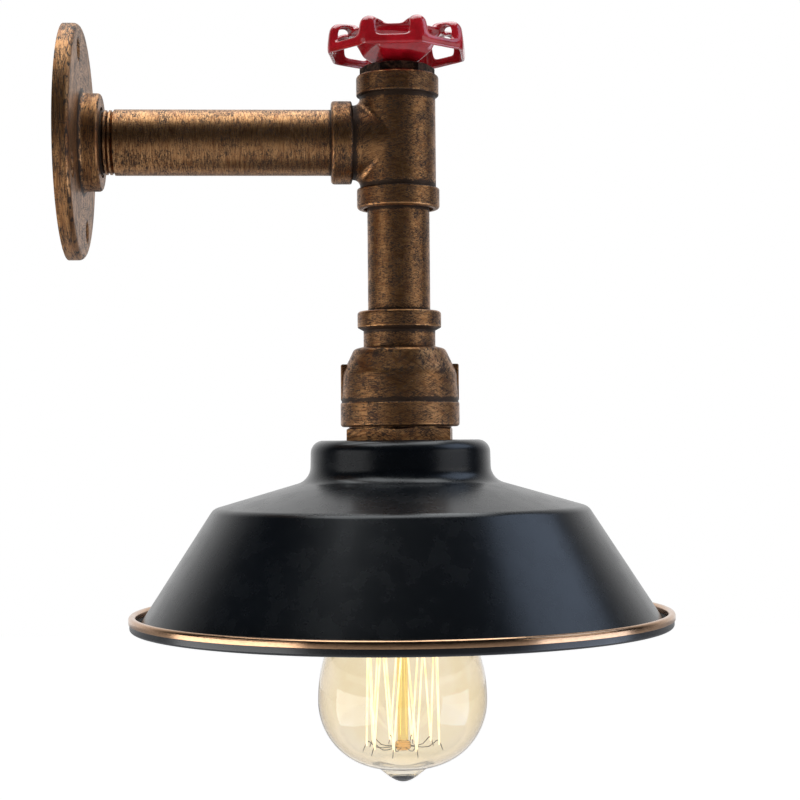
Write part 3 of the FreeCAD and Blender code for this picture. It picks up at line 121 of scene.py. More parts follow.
# ------------------------------------------------------------------ node boards
class Tree:
    """Node tree, with short ways to add nodes to it."""

    def __init__(self, tree: bpy.types.NodeTree) -> None:
        """Work on a tree."""
        self.tree = tree

    def node(self, kind: str, *values: object, **settings: object) -> bpy.types.Node:
        """Add a node, set its properties and feed its sockets in their order.

        Args:
            kind: Node type without its ShaderNode prefix.
            *values: What its first input sockets get.
            **settings: Properties of the node.

        Returns:
            The new node.
        """
        made = self.tree.nodes.new("ShaderNode" + kind)
        for name, value in settings.items():
            setattr(made, name, value)
        for socket, value in zip(made.inputs, values):
            self.feed(socket, value)
        return made

    def feed(self, socket: Socket, value: object) -> None:
        """Link a socket to another, or set its value.

        Args:
            socket: Input socket.
            value: Output socket, or a number, colour or vector.
        """
        if isinstance(value, Socket):
            self.tree.links.new(value, socket)
        else:
            socket.default_value = value

    def math(self, operation: str, *values: object) -> Socket:
        """Add a math node.

        Args:
            operation: Operation of the node.
            *values: Its operands, sockets or numbers.

        Returns:
            The result's socket.
        """
        return self.node("Math", *values, operation=operation).outputs[0]

    def split(self, vector: Socket) -> Sockets:
        """Take a vector apart.

        Args:
            vector: Socket to split.

        Returns:
            Sockets of X, Y and Z.
        """
        return tuple(self.node("SeparateXYZ", vector).outputs)

    def span(self, value: object, low: float, high: float, to_low: float = 0.0,
             to_high: float = 1.0) -> Socket:
        """Map a range onto another, smoothly and clamped.

        Args:
            value: Value to map.
            low: Start of its range.
            high: End of its range.
            to_low: What the start becomes.
            to_high: What the end becomes.

        Returns:
            The mapped value's socket.
        """
        values = value, low, high, to_low, to_high
        return self.node("MapRange", *values, interpolation_type="SMOOTHSTEP").outputs[0]


class Board(Tree):
    """Material and its tree, with what only a surface needs."""

    def __init__(self, name: str) -> None:
        """Start a material with a principled shader.

        Args:
            name: Name of the material.
        """
        self.material = bpy.data.materials.new(name)
        self.material.use_nodes = True
        super().__init__(self.material.node_tree)
        self.shader = self.tree.nodes["Principled BSDF"]

    def set(self, **values: object) -> None:
        """Feed sockets of the principled shader, an underscore standing for a space."""
        for name, value in values.items():
            self.feed(self.shader.inputs[name.replace("_", " ")], value)

    def place(self, centre: Point = (0.0, 0.0, 0.0)) -> Socket:
        """Object coordinates in millimetres, counted from a centre given in metres.

        Args:
            centre: Point that becomes zero.

        Returns:
            Vector socket.
        """
        mapping = self.node("Mapping", vector_type="POINT")
        mapping.inputs["Location"].default_value = tuple(-value / MM for value in centre)
        mapping.inputs["Scale"].default_value = (1 / MM,) * 3
        self.feed(mapping.inputs["Vector"], self.node("TexCoord").outputs["Object"])
        return mapping.outputs[0]

    def join(self, *values: object) -> Socket:
        """Put a vector together.

        Args:
            *values: X, Y and Z, sockets or numbers.

        Returns:
            Vector socket.
        """
        return self.node("CombineXYZ", *values).outputs[0]

    def noise(self, vector: Socket, size: float = 1.0, detail: float = 3.0, rough: float = 0.6) -> Socket:
        """Noise texture.

        Args:
            vector: Place in the pattern.
            size: Size of one feature, in the vector's unit.
            detail: Octaves.
            rough: Strength of the finer octaves.

        Returns:
            Value from 0 to 1, mostly near 0.5.
        """
        made = self.node("TexNoise")
        self.feed(made.inputs["Vector"], vector)
        made.inputs["Scale"].default_value = 1 / size
        made.inputs["Detail"].default_value = detail
        made.inputs["Roughness"].default_value = rough
        return made.outputs["Fac"]

    def blend(self, factor: object, first: object, second: object) -> Socket:
        """Blend two colours.

        Args:
            factor: 0 gives the first, 1 the second.
            first: Colour or socket.
            second: Colour or socket.

        Returns:
            Colour socket.
        """
        made = self.node("Mix", data_type="RGBA")
        self.feed(made.inputs["Factor"], factor)
        for socket, colour in ((made.inputs[6], first), (made.inputs[7], second)):
            self.feed(socket, (*colour, 1.0) if isinstance(colour, tuple) else colour)
        return made.outputs[2]

    def relief(self, height: Socket, depth: float, strength: float = 1.0) -> None:
        """Bump the surface.

        Args:
            height: Value from 0 to 1.
            depth: What 1 stands for, in millimetres.
            strength: Share of the bump.
        """
        bump = self.node("Bump")
        bump.inputs["Strength"].default_value = strength
        bump.inputs["Distance"].default_value = depth * MM
        self.feed(bump.inputs["Height"], height)
        self.set(Normal=bump.outputs[0])


# ------------------------------------------------------------------ finishes
SECOND_HATCH = 40.0  # shifts the second set of scratches, so that it doesn't repeat the first


@dataclass(frozen=True)
class Turning:
    """Place of a turned piece: the axis it was brushed round and a point on it."""

    axis: Axis
    centre: Point

    def coordinates(self, board: Board) -> Sockets:
        """Distance along the axis, radius, and cosine and sine of the angle round it.

        Args:
            board: Board that gets the nodes.

        Returns:
            Four sockets, the first two in millimetres.
        """
        x, y, z = board.split(board.place(self.centre))
        along, first, second = (x, y, z) if self.axis is Axis.ARM else (z, x, y)
        squares = board.math("ADD", board.math("MULTIPLY", first, first),
                             board.math("MULTIPLY", second, second))
        radius = board.math("SQRT", board.math("ADD", squares, 1e-6))
        return along, radius, board.math("DIVIDE", first, radius), board.math("DIVIDE", second, radius)


@dataclass(frozen=True)
class Finish:
    """Recipe of a material, which is built once for all the pieces that share it."""

    name: str

    def compose(self, board: Board) -> None:
        """Lay out the finish.

        Args:
            board: Board that gets the nodes.
        """
        raise NotImplementedError

    @cache
    def material(self) -> bpy.types.Material:
        """Build the material.

        Returns:
            The material, the same one at each call.
        """
        board = Board(self.name)
        self.compose(board)
        return board.material

    def coat(self, piece: Piece) -> None:
        """Make this finish the only material of a piece.

        Args:
            piece: Object to coat.
        """
        piece.data.materials.clear()
        piece.data.materials.append(self.material())
        LOG.info("%s: %d faces, %s", piece.name, len(piece.data.polygons), self.name)


@dataclass(frozen=True)
class AntiqueCopper(Finish):
    """Copper plate, blackened and brushed back, with fine dark scratches round the piece's axis.

    Crevices and edges are places along the axis, rings are radii, all in millimetres. Crevices and rings
    get painted shade, a darker black that also stands for the patina gathered there; edges get a painted
    highlight, bare copper that also stands for rubbing. The pulls say how much patches and the painted
    shade darken the scratches, and how much the painted highlight clears them.
    """

    turning: Turning
    cross: Turning | None = None
    cross_limit: float = 0.0
    # Crevices, cross crevices and rings: where shade is painted as darker black; edges: where a highlight
    # is painted as bare copper.
    crevices: tuple[float, ...] = ()
    crevice_width: float = 1.9
    cross_crevices: tuple[float, ...] = ()
    rings: tuple[float, ...] = ()
    edges: tuple[float, ...] = ()
    edge_width: float = 0.5
    bare: Colour = (0.46, 0.236, 0.098)
    worn: Colour = (0.24, 0.106, 0.044)
    black: Colour = (0.018, 0.011, 0.008)
    streak: float = 0.30
    reach: float = 0.10
    tone_streak: float = 2.2
    tone_reach: float = 3.0
    toned: Pair = (0.44, 0.68)
    hatch: float = 0.28
    scratched: float = 0.555
    scratch_fade: float = 0.09
    blotch: float = 6.0
    blotched: float = 0.59
    blotch_fade: Pair = (-0.05, 0.12)
    grimy: Pair = (0.46, 0.58)
    grime: Pair = (0.10, 0.9)
    speck: float = 0.6
    stained: Pair = (0.54, 0.64)
    stain: float = 0.85
    # The second and third pulls set the painted shade in crevices and the painted highlight on edges.
    patch_pull: float = 0.34
    crevice_shade_pull: float = 0.20
    edge_highlight_pull: float = 0.10
    covering: float = 0.93
    covered_metal: float = 0.6
    rough: float = 0.32
    rough_black: float = 0.52
    branch_fade: float = 0.8
    branch_clear: Pair = (17.2, 17.7)
    bump: float = 0.035

    def _streaks(self, board: Board, coordinates: Sockets, width: float, reach: float) -> Socket:
        """Streaks round one axis.

        Args:
            board: Board that gets the nodes.
            coordinates: Cylinder coordinates of the axis.
            width: Width of a streak in millimetres.
            reach: Its length, as a share of the radius.

        Returns:
            Noise value's socket.
        """
        along, radius, cosine, sine = coordinates
        round_it = board.math("MULTIPLY", radius, board.math("ADD", cosine, sine))
        marks = []
        for slope, offset in ((self.hatch, 0.0), (-self.hatch, SECOND_HATCH)):
            level = board.math("ADD", board.math("ADD", along, radius),
                               board.math("MULTIPLY", round_it, slope))
            vector = board.join(board.math("DIVIDE", level, width),
                                board.math("ADD", board.math("DIVIDE", cosine, reach), offset),
                                board.math("DIVIDE", sine, reach))
            marks.append(board.noise(vector, 1.0, 3.0, 0.55))
        return board.math("MAXIMUM", *marks)

    def _brushing(self, board: Board, width: float, reach: float) -> Socket:
        """Streaks round the main axis, and round the branch's where it stands out.

        Args:
            board: Board that gets the nodes.
            width: Width of a streak in millimetres.
            reach: Its length, as a share of the radius.

        Returns:
            Noise value's socket.
        """
        main = self._streaks(board, self.turning.coordinates(board), width, reach)
        if self.cross is None:
            return main
        branch = self.cross.coordinates(board)
        limit = -self.cross_limit
        on_branch = board.math("MULTIPLY", board.span(branch[0], limit - self.branch_fade, limit, 1.0, 0.0),
                               board.span(branch[1], *self.branch_clear, 1.0, 0.0))
        difference = board.math("SUBTRACT", self._streaks(board, branch, width, reach), main)
        return board.math("ADD", main, board.math("MULTIPLY", difference, on_branch))

    def _near(self, board: Board, value: Socket, places: tuple[float, ...], width: float) -> Socket:
        """Mark what lies close to any of some places.

        Args:
            board: Board that gets the nodes.
            value: Where a point lies.
            places: Places to mark.
            width: How far a mark reaches.

        Returns:
            Socket that is 1 at a place and fades to 0 at the width from it.
        """
        found = board.math("MULTIPLY", value, 0.0)
        for place in places:
            distance = board.math("ABSOLUTE", board.math("SUBTRACT", value, place))
            found = board.math("MAXIMUM", found, board.span(distance, 0.0, width, 1.0, 0.0))
        return found

    def compose(self, board: Board) -> None:
        """Darken a brushed plate with scratches, dirty patches and specks, with painted shade and
        highlights.
        """
        place = board.place()
        along, radius = self.turning.coordinates(board)[:2]
        scratches = self._brushing(board, self.streak, self.reach)
        tone = self._brushing(board, self.streak * self.tone_streak, self.reach * self.tone_reach)
        patches = board.noise(place, self.blotch, 4.0, 0.6)
        specks = board.noise(place, self.speck, 3.0, 0.6)
        # Painted shade: darker black in the crevices and rings, also standing for the patina there.
        painted_crevice_shade = board.math("MAXIMUM", self._near(board, along, self.crevices, self.crevice_width),
                          self._near(board, radius, self.rings, self.crevice_width))
        if self.cross is not None:
            painted_crevice_shade = board.math("MAXIMUM", painted_crevice_shade, self._near(board, self.cross.coordinates(board)[0],
                                                          self.cross_crevices, self.crevice_width))
        # Painted highlight: edges cleared of their dark scratches to bare copper, also standing for
        # rubbing.
        painted_edge_highlight = self._near(board, along, self.edges, self.edge_width)
        shift = board.math("SUBTRACT",
                           board.math("MULTIPLY", board.math("SUBTRACT", patches, 0.5), self.patch_pull),
                           board.math("SUBTRACT", board.math("MULTIPLY", painted_crevice_shade, -self.crevice_shade_pull),
                                      board.math("MULTIPLY", painted_edge_highlight, -self.edge_highlight_pull)))
        mark = board.math("ADD", scratches, shift)
        dark = board.span(mark, self.scratched, self.scratched + self.scratch_fade)
        stained = board.span(board.math("ADD", specks, shift), *self.stained)
        stain = board.math("MULTIPLY", stained, self.stain)
        low, high = (self.blotched + fade for fade in self.blotch_fade)
        grime = board.math("MULTIPLY", board.span(patches, low, high),
                           board.span(scratches, *self.grimy, *self.grime))
        cover = board.math("MAXIMUM", board.math("MAXIMUM", dark, stain), grime)
        metal = board.blend(board.span(tone, *self.toned), self.bare, self.worn)
        board.set(Base_Color=board.blend(board.math("MULTIPLY", cover, self.covering), metal, self.black),
                  Metallic=board.span(cover, 0.0, 1.0, 1.0, self.covered_metal),
                  Roughness=board.span(cover, 0.0, 1.0, self.rough, self.rough_black))
        board.relief(board.math("SUBTRACT", 1.0, cover), self.bump, 0.6)


@dataclass(frozen=True)
class RedEnamel(Finish):
    """Thick glossy enamel over a rough little casting."""

    name: str = "red_enamel"
    body: Colour = (0.56, 0.008, 0.018)
    deep: Colour = (0.38, 0.004, 0.010)
    tone: float = 7.0
    toned: Pair = (0.35, 0.7)
    peel: float = 2.4
    pit: float = 0.7
    pitted: Pair = (0.3, 0.7)
    rough: Pair = (0.16, 0.26)
    bump: float = 0.14

    def compose(self, board: Board) -> None:
        """Two close reds under a wavy, pitted gloss."""
        place = board.place()
        peel = board.noise(place, self.peel, 2.0, 0.5)
        pits = board.noise(place, self.pit, 2.0, 0.5)
        tone = board.span(board.noise(place, self.tone, 3.0), *self.toned)
        board.set(Base_Color=board.blend(tone, self.deep, self.body), Metallic=0.0,
                  Roughness=board.span(pits, *self.pitted, *self.rough), Coat_Weight=0.6,
                  Coat_Roughness=0.06, Specular_IOR_Level=0.6)
        board.relief(board.math("ADD", peel, board.math("MULTIPLY", pits, 0.25)), self.bump, 0.8)


@dataclass(frozen=True)
class SatinBlack(Finish):
    """Satin black paint on the spun shade, with a brushed copper bead on the rim."""

    stem: Turning
    bead_bottom: float
    bead_radius: float
    paint: Colour = (0.0008, 0.0022, 0.0042)
    dust: Colour = (0.0014, 0.0032, 0.0056)
    bead: Colour = (0.56, 0.34, 0.20)
    bead_dark: Colour = (0.40, 0.235, 0.135)
    bead_below: float = 0.05
    bead_inside: Pair = (0.6, 0.4)
    grain: float = 0.35
    mottle: float = 9.0
    mottled: Pair = (0.3, 0.75)
    rough: Pair = (0.25, 0.29)
    bead_polish: float = -0.08
    brush_width: float = 0.25
    brush_reach: float = 0.02
    brushed: Pair = (0.25, 0.55)

    def compose(self, board: Board) -> None:
        """Paint the sheet black, one mask giving the bead its copper."""
        along, radius, cosine, sine = self.stem.coordinates(board)
        place = board.place()
        far, near = (self.bead_radius - inside for inside in self.bead_inside)
        on_bead = board.math("MULTIPLY", board.span(along, self.bead_bottom - self.bead_below,
                                                    self.bead_bottom + self.bead_below),
                             board.span(radius, far, near))
        grain = board.noise(place, self.grain, 2.0, 0.5)
        mottle = board.span(board.noise(place, self.mottle, 3.0), *self.mottled)
        brushed = board.noise(board.join(board.math("DIVIDE", along, self.brush_width),
                                         board.math("DIVIDE", cosine, self.brush_reach),
                                         board.math("DIVIDE", sine, self.brush_reach)), 1.0, 3.0, 0.6)
        copper = board.blend(board.span(brushed, *self.brushed), self.bead_dark, self.bead)
        board.set(Base_Color=board.blend(on_bead, board.blend(mottle, self.paint, self.dust), copper),
                  Metallic=on_bead,
                  Roughness=board.math("ADD", board.span(mottle, 0.0, 1.0, *self.rough),
                                       board.math("MULTIPLY", on_bead, self.bead_polish)),
                  Specular_IOR_Level=0.5)
        board.relief(grain, 0.01, 0.25)


@dataclass(frozen=True)
class AmberGlass(Finish):
    """Amber glass, deeper where the eye looks along its wall, and below a height if one is given."""

    tint: Colour = (0.925, 0.86, 0.735)
    smoke: Colour = (0.895, 0.82, 0.66)
    edge: Colour = (0.62, 0.50, 0.36)
    edge_start: float = 0.42
    deep: Colour = (0.95, 0.58, 0.22)
    deep_below: float = -10.0
    deep_fade: float = 0.5
    smoke_size: float = 18.0
    smoked: Pair = (0.35, 0.65)
    wave: float = 14.0
    wave_depth: float = 0.25

    def compose(self, board: Board) -> None:
        """Tint the glass by its streaks, by how it faces the eye and by height."""
        place = board.place()
        tone = board.span(board.noise(place, self.smoke_size, 2.0), *self.smoked)
        facing = board.node("LayerWeight").outputs["Facing"]
        clear = board.blend(tone, self.tint, self.smoke)
        walled = board.blend(board.span(facing, self.edge_start, 1.0), clear, self.edge)
        height = board.split(place)[2]
        limit = self.deep_below / MM
        below = board.span(height, limit - self.deep_fade, limit + self.deep_fade, 1.0, 0.0)
        colour = board.blend(below, walled, self.deep)
        board.set(Base_Color=colour, Roughness=0.0, IOR=1.48, Transmission_Weight=1.0)
        board.relief(board.noise(place, self.wave, 1.0), self.wave_depth, 0.15)


@dataclass(frozen=True)
class Glowing(Finish):
    """Filament thread at working heat, a little cooler in places."""

    hot: Colour = (1.0, 0.95, 0.78)
    cooler: Colour = (1.0, 0.86, 0.50)
    thread: Colour = (0.8, 0.6, 0.35)
    strength: float = 1.3
    stretch: float = 6.0
    cooled: Pair = (0.4, 0.7)

    def compose(self, board: Board) -> None:
        """Let the thread glow, cooler in places."""
        tone = board.span(board.noise(board.place(), self.stretch, 2.0), *self.cooled)
        glow = board.blend(tone, self.hot, self.cooler)
        board.set(Base_Color=(*self.thread, 1.0), Roughness=0.5, Emission_Color=glow,
                  Emission_Strength=self.strength)


class Sheen(Enum):
    """How a plain material reflects: metallic share, roughness and depth of its surface grain in mm."""

    METAL = (1.0, 0.30, 0.02)
    DULL_METAL = (1.0, 0.48, 0.03)
    GLAZE = (0.0, 0.12, 0.02)
    VITREOUS = (0.0, 0.08, 0.01)
    PLASTIC = (0.0, 0.42, 0.01)


@dataclass(frozen=True)
class Plain(Finish):
    """Finish of a small piece: one colour, mottled with a second, over a fine grain."""

    main: Colour
    second: Colour
    sheen: Sheen
    grain: float = 0.5
    mottle: float = 3.0
    amount: Pair = (0.42, 0.62)
    rough_range: Pair = (0.85, 1.2)

    def compose(self, board: Board) -> None:
        """Mottle one colour with the other, over the grain."""
        place = board.place()
        metallic, rough, depth = self.sheen.value
        patches = board.span(board.noise(place, self.mottle, 3.0), *self.amount)
        grain = board.noise(place, self.grain, 3.0)
        board.set(Base_Color=board.blend(patches, self.main, self.second), Metallic=metallic,
                  Roughness=board.span(grain, 0.3, 0.7, *(rough * share for share in self.rough_range)))
        board.relief(grain, depth, 0.6)


@dataclass(frozen=True)
class Striped(Finish):
    """Green insulation with a yellow stripe on its upper side."""

    green: Colour = (0.05, 0.26, 0.04)
    yellow: Colour = (0.75, 0.58, 0.03)
    stripe: Pair = (-0.25, 0.05)

    def compose(self, board: Board) -> None:
        """Lay the stripe along the upper side."""
        stripe = board.span(board.split(board.place())[1], *self.stripe)
        board.set(Base_Color=board.blend(stripe, self.green, self.yellow), Roughness=0.42)
        board.relief(board.noise(board.place(), 0.4), 0.01, 0.5)


# ------------------------------------------------------------------ bench work
MERGE = 0.002 * MM
STEPS_A_TURN = 48
ROUND_EDGES = 60.0


class Bench:
    """Operators used by hand, wrapped so that each starts from nothing selected."""

    @staticmethod
    def clear() -> None:
        """Leave edit mode and deselect everything."""
        if bpy.context.object is not None and bpy.context.object.mode != "OBJECT":
            bpy.ops.object.mode_set(mode="OBJECT")
        bpy.ops.object.select_all(action="DESELECT")

    @staticmethod
    def take(piece: Piece) -> None:
        """Make one object the selected and active one.

        Args:
            piece: The object.
        """
        Bench.clear()
        piece.hide_set(False)
        piece.select_set(True)
        bpy.context.view_layer.objects.active = piece

    @staticmethod
    def path(name: str, points: list[Point]) -> Piece:
        """Draw a line through points by extruding a vertex.

        Args:
            name: Name of the object.
            points: Points in metres.

        Returns:
            Object whose mesh is a chain of edges, left in edit mode with all of it selected.
        """
        Bench.clear()
        bpy.ops.mesh.primitive_plane_add(size=MM, enter_editmode=False, location=points[0])
        line = bpy.context.object
        line.name = line.data.name = name
        bpy.ops.object.transform_apply(location=True, rotation=True, scale=True)
        bpy.ops.object.mode_set(mode="EDIT")
        bpy.ops.mesh.select_all(action="SELECT")
        bpy.ops.mesh.merge(type="CENTER")
        for start, end in zip(points, points[1:]):
            step = Vector(end) - Vector(start)
            bpy.ops.mesh.extrude_vertices_move(TRANSFORM_OT_translate={"value": step})
        bpy.ops.mesh.select_all(action="SELECT")
        return line

    @staticmethod
    def finish(piece: Piece, angle: float = 35.0) -> Piece:
        """Merge doubles, turn the faces outwards and smooth a closed piece.

        Args:
            piece: Object to finish.
            angle: Sharpest edge, in degrees, that is smoothed over.

        Returns:
            The same object.
        """
        Bench.take(piece)
        bpy.ops.object.mode_set(mode="EDIT")
        bpy.ops.mesh.select_all(action="SELECT")
        bpy.ops.mesh.remove_doubles(threshold=MERGE)
        bpy.ops.mesh.normals_make_consistent(inside=False)
        bpy.ops.object.mode_set(mode="OBJECT")
        bpy.ops.object.shade_smooth_by_angle(angle=math.radians(angle))
        return piece

    @staticmethod
    def lathe(name: str, profile: list[Pair], centre: Point, steps: int) -> Piece:
        """Spin a profile round a vertical axis.

        Args:
            name: Name of the object.
            profile: Radius and height of each corner, in metres.
            centre: Point on the axis.
            steps: Steps of the full turn.

        Returns:
            Closed, smoothed object.
        """
        line = Bench.path(name, [(centre[0] + radius, centre[1], height) for radius, height in profile])
        bpy.ops.mesh.spin(steps=steps, angle=2 * math.pi, center=centre, axis=(0.0, 0.0, 1.0))
        bpy.ops.object.mode_set(mode="OBJECT")
        return Bench.finish(line)

    @staticmethod
    def wire(name: str, points: list[Point], radius: float, sides: int = 2) -> Piece:
        """Round wire along points.

        Args:
            name: Name of the object.
            points: Points in metres.
            radius: Radius in metres.
            sides: Resolution of the round section.

        Returns:
            Mesh object.
        """
        line = Bench.path(name, points)
        bpy.ops.object.mode_set(mode="OBJECT")
        Bench.take(line)
        bpy.ops.object.convert(target="CURVE")
        curve = bpy.context.object.data
        curve.bevel_depth = radius
        curve.bevel_resolution = sides
        curve.use_fill_caps = True
        bpy.ops.object.convert(target="MESH")
        return Bench.finish(bpy.context.object, ROUND_EDGES)

    @staticmethod
    def thread(name: str, centre: Point, radius: float, crest: float, pitch: float, turns: float,
               sides: int = 10) -> Piece:
        """Helical crest of a screw thread, from a ring wound up by a screw modifier.

        Args:
            name: Name of the object.
            centre: Point on the axis at the thread's lower end.
            radius: Distance of the crest's middle from the axis.
            crest: Radius of the crest's round section.
            pitch: Rise in one turn.
            turns: Number of turns.
            sides: Corners of the round section.

        Returns:
            Mesh object.
        """
        Bench.clear()
        start = (centre[0] + radius, centre[1], centre[2])
        bpy.ops.mesh.primitive_circle_add(vertices=sides, radius=crest, location=start,
                                          rotation=(math.pi / 2, 0.0, 0.0))
        ring = bpy.context.object
        ring.name = ring.data.name = name
        bpy.ops.object.transform_apply(location=True, rotation=True, scale=True)
        ring.data.transform(Matrix.Translation((-centre[0], -centre[1], -centre[2])))
        winding = ring.modifiers.new("winding", "SCREW")
        winding.angle = 2 * math.pi * turns
        winding.screw_offset = pitch * turns
        winding.steps = winding.render_steps = round(STEPS_A_TURN * turns)
        bpy.ops.object.modifier_apply(modifier="winding")
        ring.data.transform(Matrix.Translation(centre))
        return Bench.finish(ring, ROUND_EDGES)


def arc(centre: Pair, radius: float, start: float, end: float, count: int) -> list[Pair]:
    """Points of an arc in a profile.

    Args:
        centre: Radius and height of the arc's centre.
        radius: Its radius.
        start: First angle, in radians.
        end: Last angle.
        count: Number of steps.

    Returns:
        List of (radius, height), both ends included.
    """
    angles = [start + (end - start) * step / count for step in range(count + 1)]
    return [(centre[0] + radius * math.cos(angle), centre[1] + radius * math.sin(angle))
            for angle in angles]


def rounded(corners: list[tuple[float, ...]], steps: int = 7) -> list[Pair]:
    """Closed profile with some corners rounded.

    Args:
        corners: Radius and height of each corner, and the radius of its rounding where it has one.
        steps: Steps of each rounding.

    Returns:
        Points of the profile, the first one repeated at the end.
    """
    points = []
    for before, corner, after in zip(corners[-1:] + corners[:-1], corners, corners[1:] + corners[:1]):
        here = Vector(corner[:2])
        if len(corner) == 2:
            points.append(tuple(here))
            continue
        back = (Vector(before[:2]) - here).normalized()
        on = (Vector(after[:2]) - here).normalized()
        half = back.angle(on) / 2
        centre = here + (back + on).normalized() * corner[2] / math.sin(half)
        first = here + back * corner[2] / math.tan(half) - centre
        last = here + on * corner[2] / math.tan(half) - centre
        for step in range(steps + 1):
            points.append(tuple(centre + first.lerp(last, step / steps).normalized() * corner[2]))
    return points + points[:1]


@dataclass
class Light:
    """What all sub-assemblies share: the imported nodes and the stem's place."""

    nodes: dict[str, Piece]
    stem: Vector = field(init=False)

    def __post_init__(self) -> None:
        """Read the stem's place from the drop nipple."""
        low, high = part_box("drop_nipple")
        self.stem = (low + high) / 2

    def dress(self, finish: Finish, *nodes: str) -> None:
        """Coat nodes.

        Args:
            finish: Finish for all of them.
            *nodes: Names of the nodes.
        """
        for node in nodes:
            finish.coat(self.nodes[node])

    def fit(self, piece: Piece, body: Body, finish: Finish, slot: str, *replaced: str) -> None:
        """Coat a new piece and hang it on a body.

        Args:
            piece: New object.
            body: Body it rides on.
            finish: Its finish.
            slot: Material slot of the record, not used.
            *replaced: Nodes it stands for.
        """
        finish.coat(piece)
        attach(piece, body.value)
        if replaced:
            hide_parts(*replaced)


# ------------------------------------------------------------------ sub-assemblies
@dataclass
class Pipework:
    """Flange, pipes, tee, reducer and bushing."""

    light: Light
    hub_radius: float = 19.75
    hub_edge: float = 14.1
    band_width: float = 8.2
    collar_height: float = 6.6
    reducer_band: float = 10.0
    ring_gap: float = 1.3
    hub_gap: float = 0.8
    step_gap: float = 0.9
    rim_gap: float = 0.5
    face_gap: float = 0.6
    neck_gap: float = 1.2

    def dress(self) -> None:
        """Give every fitting its copper, painted shade as black in its crevices, painted highlights as bare
        edges.
        """
        stem = self.light.stem
        arm_line = Turning(Axis.ARM, (0.0, 0.0, 0.0))
        stem_line = Turning(Axis.STEM, (stem.x, 0.0, 0.0))
        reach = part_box("pipe_tee")[1].z / MM
        lower, upper = (edge.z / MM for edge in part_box("bell_reducer"))
        band = reach - self.band_width
        # Crevices, cross crevices and rings place painted shade; edges place painted highlights.
        finishes = {
            "wall_flange": AntiqueCopper(
                "flange_copper", arm_line, rings=(self.hub_radius + self.ring_gap,), crevice_width=1.2,
                edges=(self.hub_edge - self.hub_gap,),
                hatch=0.09, reach=0.13, scratched=0.535, blotched=0.56, rough=0.42),
            "arm_pipe": AntiqueCopper(
                "arm_copper", arm_line, crevices=(stem.x / MM - reach, self.hub_edge), crevice_width=1.5,
                bare=(0.50, 0.268, 0.118), streak=0.26, reach=0.16, hatch=0.10, scratched=0.555,
                blotched=0.66, rough=0.34),
            "pipe_tee": AntiqueCopper(
                "tee_copper", stem_line, cross=Turning(Axis.ARM, (stem.x, 0.0, 0.0)), cross_limit=14.6,
                crevices=(band - self.step_gap, self.step_gap - band),
                cross_crevices=(self.step_gap - band,),
                edges=(band + self.rim_gap, -band - self.rim_gap, reach - self.face_gap,
                       self.face_gap - reach),
                scratched=0.525, blotched=0.57),
            "drop_nipple": AntiqueCopper("drop_copper", stem_line, crevices=(-reach, upper),
                                         crevice_width=1.5, scratched=0.53),
            "bell_reducer": AntiqueCopper(
                "reducer_copper", stem_line,
                crevices=(upper - self.collar_height - self.neck_gap,
                          lower + self.reducer_band + self.face_gap),
                crevice_width=1.8,
                edges=(upper - self.rim_gap, upper - self.collar_height + self.rim_gap,
                       lower + self.reducer_band - self.face_gap),
                scratched=0.53),
            "hex_bushing": AntiqueCopper("bushing_copper", stem_line, scratched=0.51, blotched=0.56),
        }
        for node, finish in finishes.items():
            self.light.dress(finish, node)


@dataclass
class WheelSet:
    """Red hand wheel, its plug, stud, washers and cap nut."""

    light: Light
    voxel: float = 0.42
    rounds: int = 80
    softness: float = 0.5

    def casting(self) -> Piece:
        """Copy of the wheel with the soft edges of a casting.

        Returns:
            The new wheel.
        """
        source = self.light.nodes["handwheel"]
        wheel = source.copy()
        wheel.data = source.data.copy()
        wheel.name = wheel.data.name = "handwheel_casting"
        wheel.parent = None
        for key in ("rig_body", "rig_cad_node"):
            if key in wheel:
                del wheel[key]
        bpy.context.scene.collection.objects.link(wheel)
        Bench.take(wheel)
        bpy.ops.object.mode_set(mode="EDIT")
        bpy.ops.mesh.select_all(action="SELECT")
        bpy.ops.mesh.remove_doubles(threshold=MERGE)
        bpy.ops.object.mode_set(mode="OBJECT")
        grid = wheel.modifiers.new("grid", "REMESH")
        grid.mode = "VOXEL"
        grid.voxel_size = self.voxel * MM
        bpy.ops.object.modifier_apply(modifier="grid")
        softening = wheel.modifiers.new("softening", "SMOOTH")
        softening.factor = self.softness
        softening.iterations = self.rounds
        bpy.ops.object.modifier_apply(modifier="softening")
        bpy.ops.object.shade_smooth()
        return wheel

    def dress(self) -> None:
        """Soften and paint the wheel, and finish what it turns on."""
        self.light.fit(self.casting(), Body.WHEEL, RedEnamel(), "handwheel", "handwheel")
        bronze = Plain("dark_bronze", (0.030, 0.022, 0.018), (0.14, 0.085, 0.055), Sheen.DULL_METAL,
                       mottle=1.6)
        steel = Plain("zinc_steel", (0.50, 0.49, 0.47), (0.34, 0.33, 0.31), Sheen.METAL)
        aged = Plain("aged_brass", (0.42, 0.28, 0.14), (0.16, 0.10, 0.055), Sheen.METAL, mottle=1.8)
        self.light.dress(bronze, "tee_plug")
        self.light.dress(steel, "wheel_stud", "wheel_washer")
        self.light.dress(aged, "cap_washer", "cap_nut")


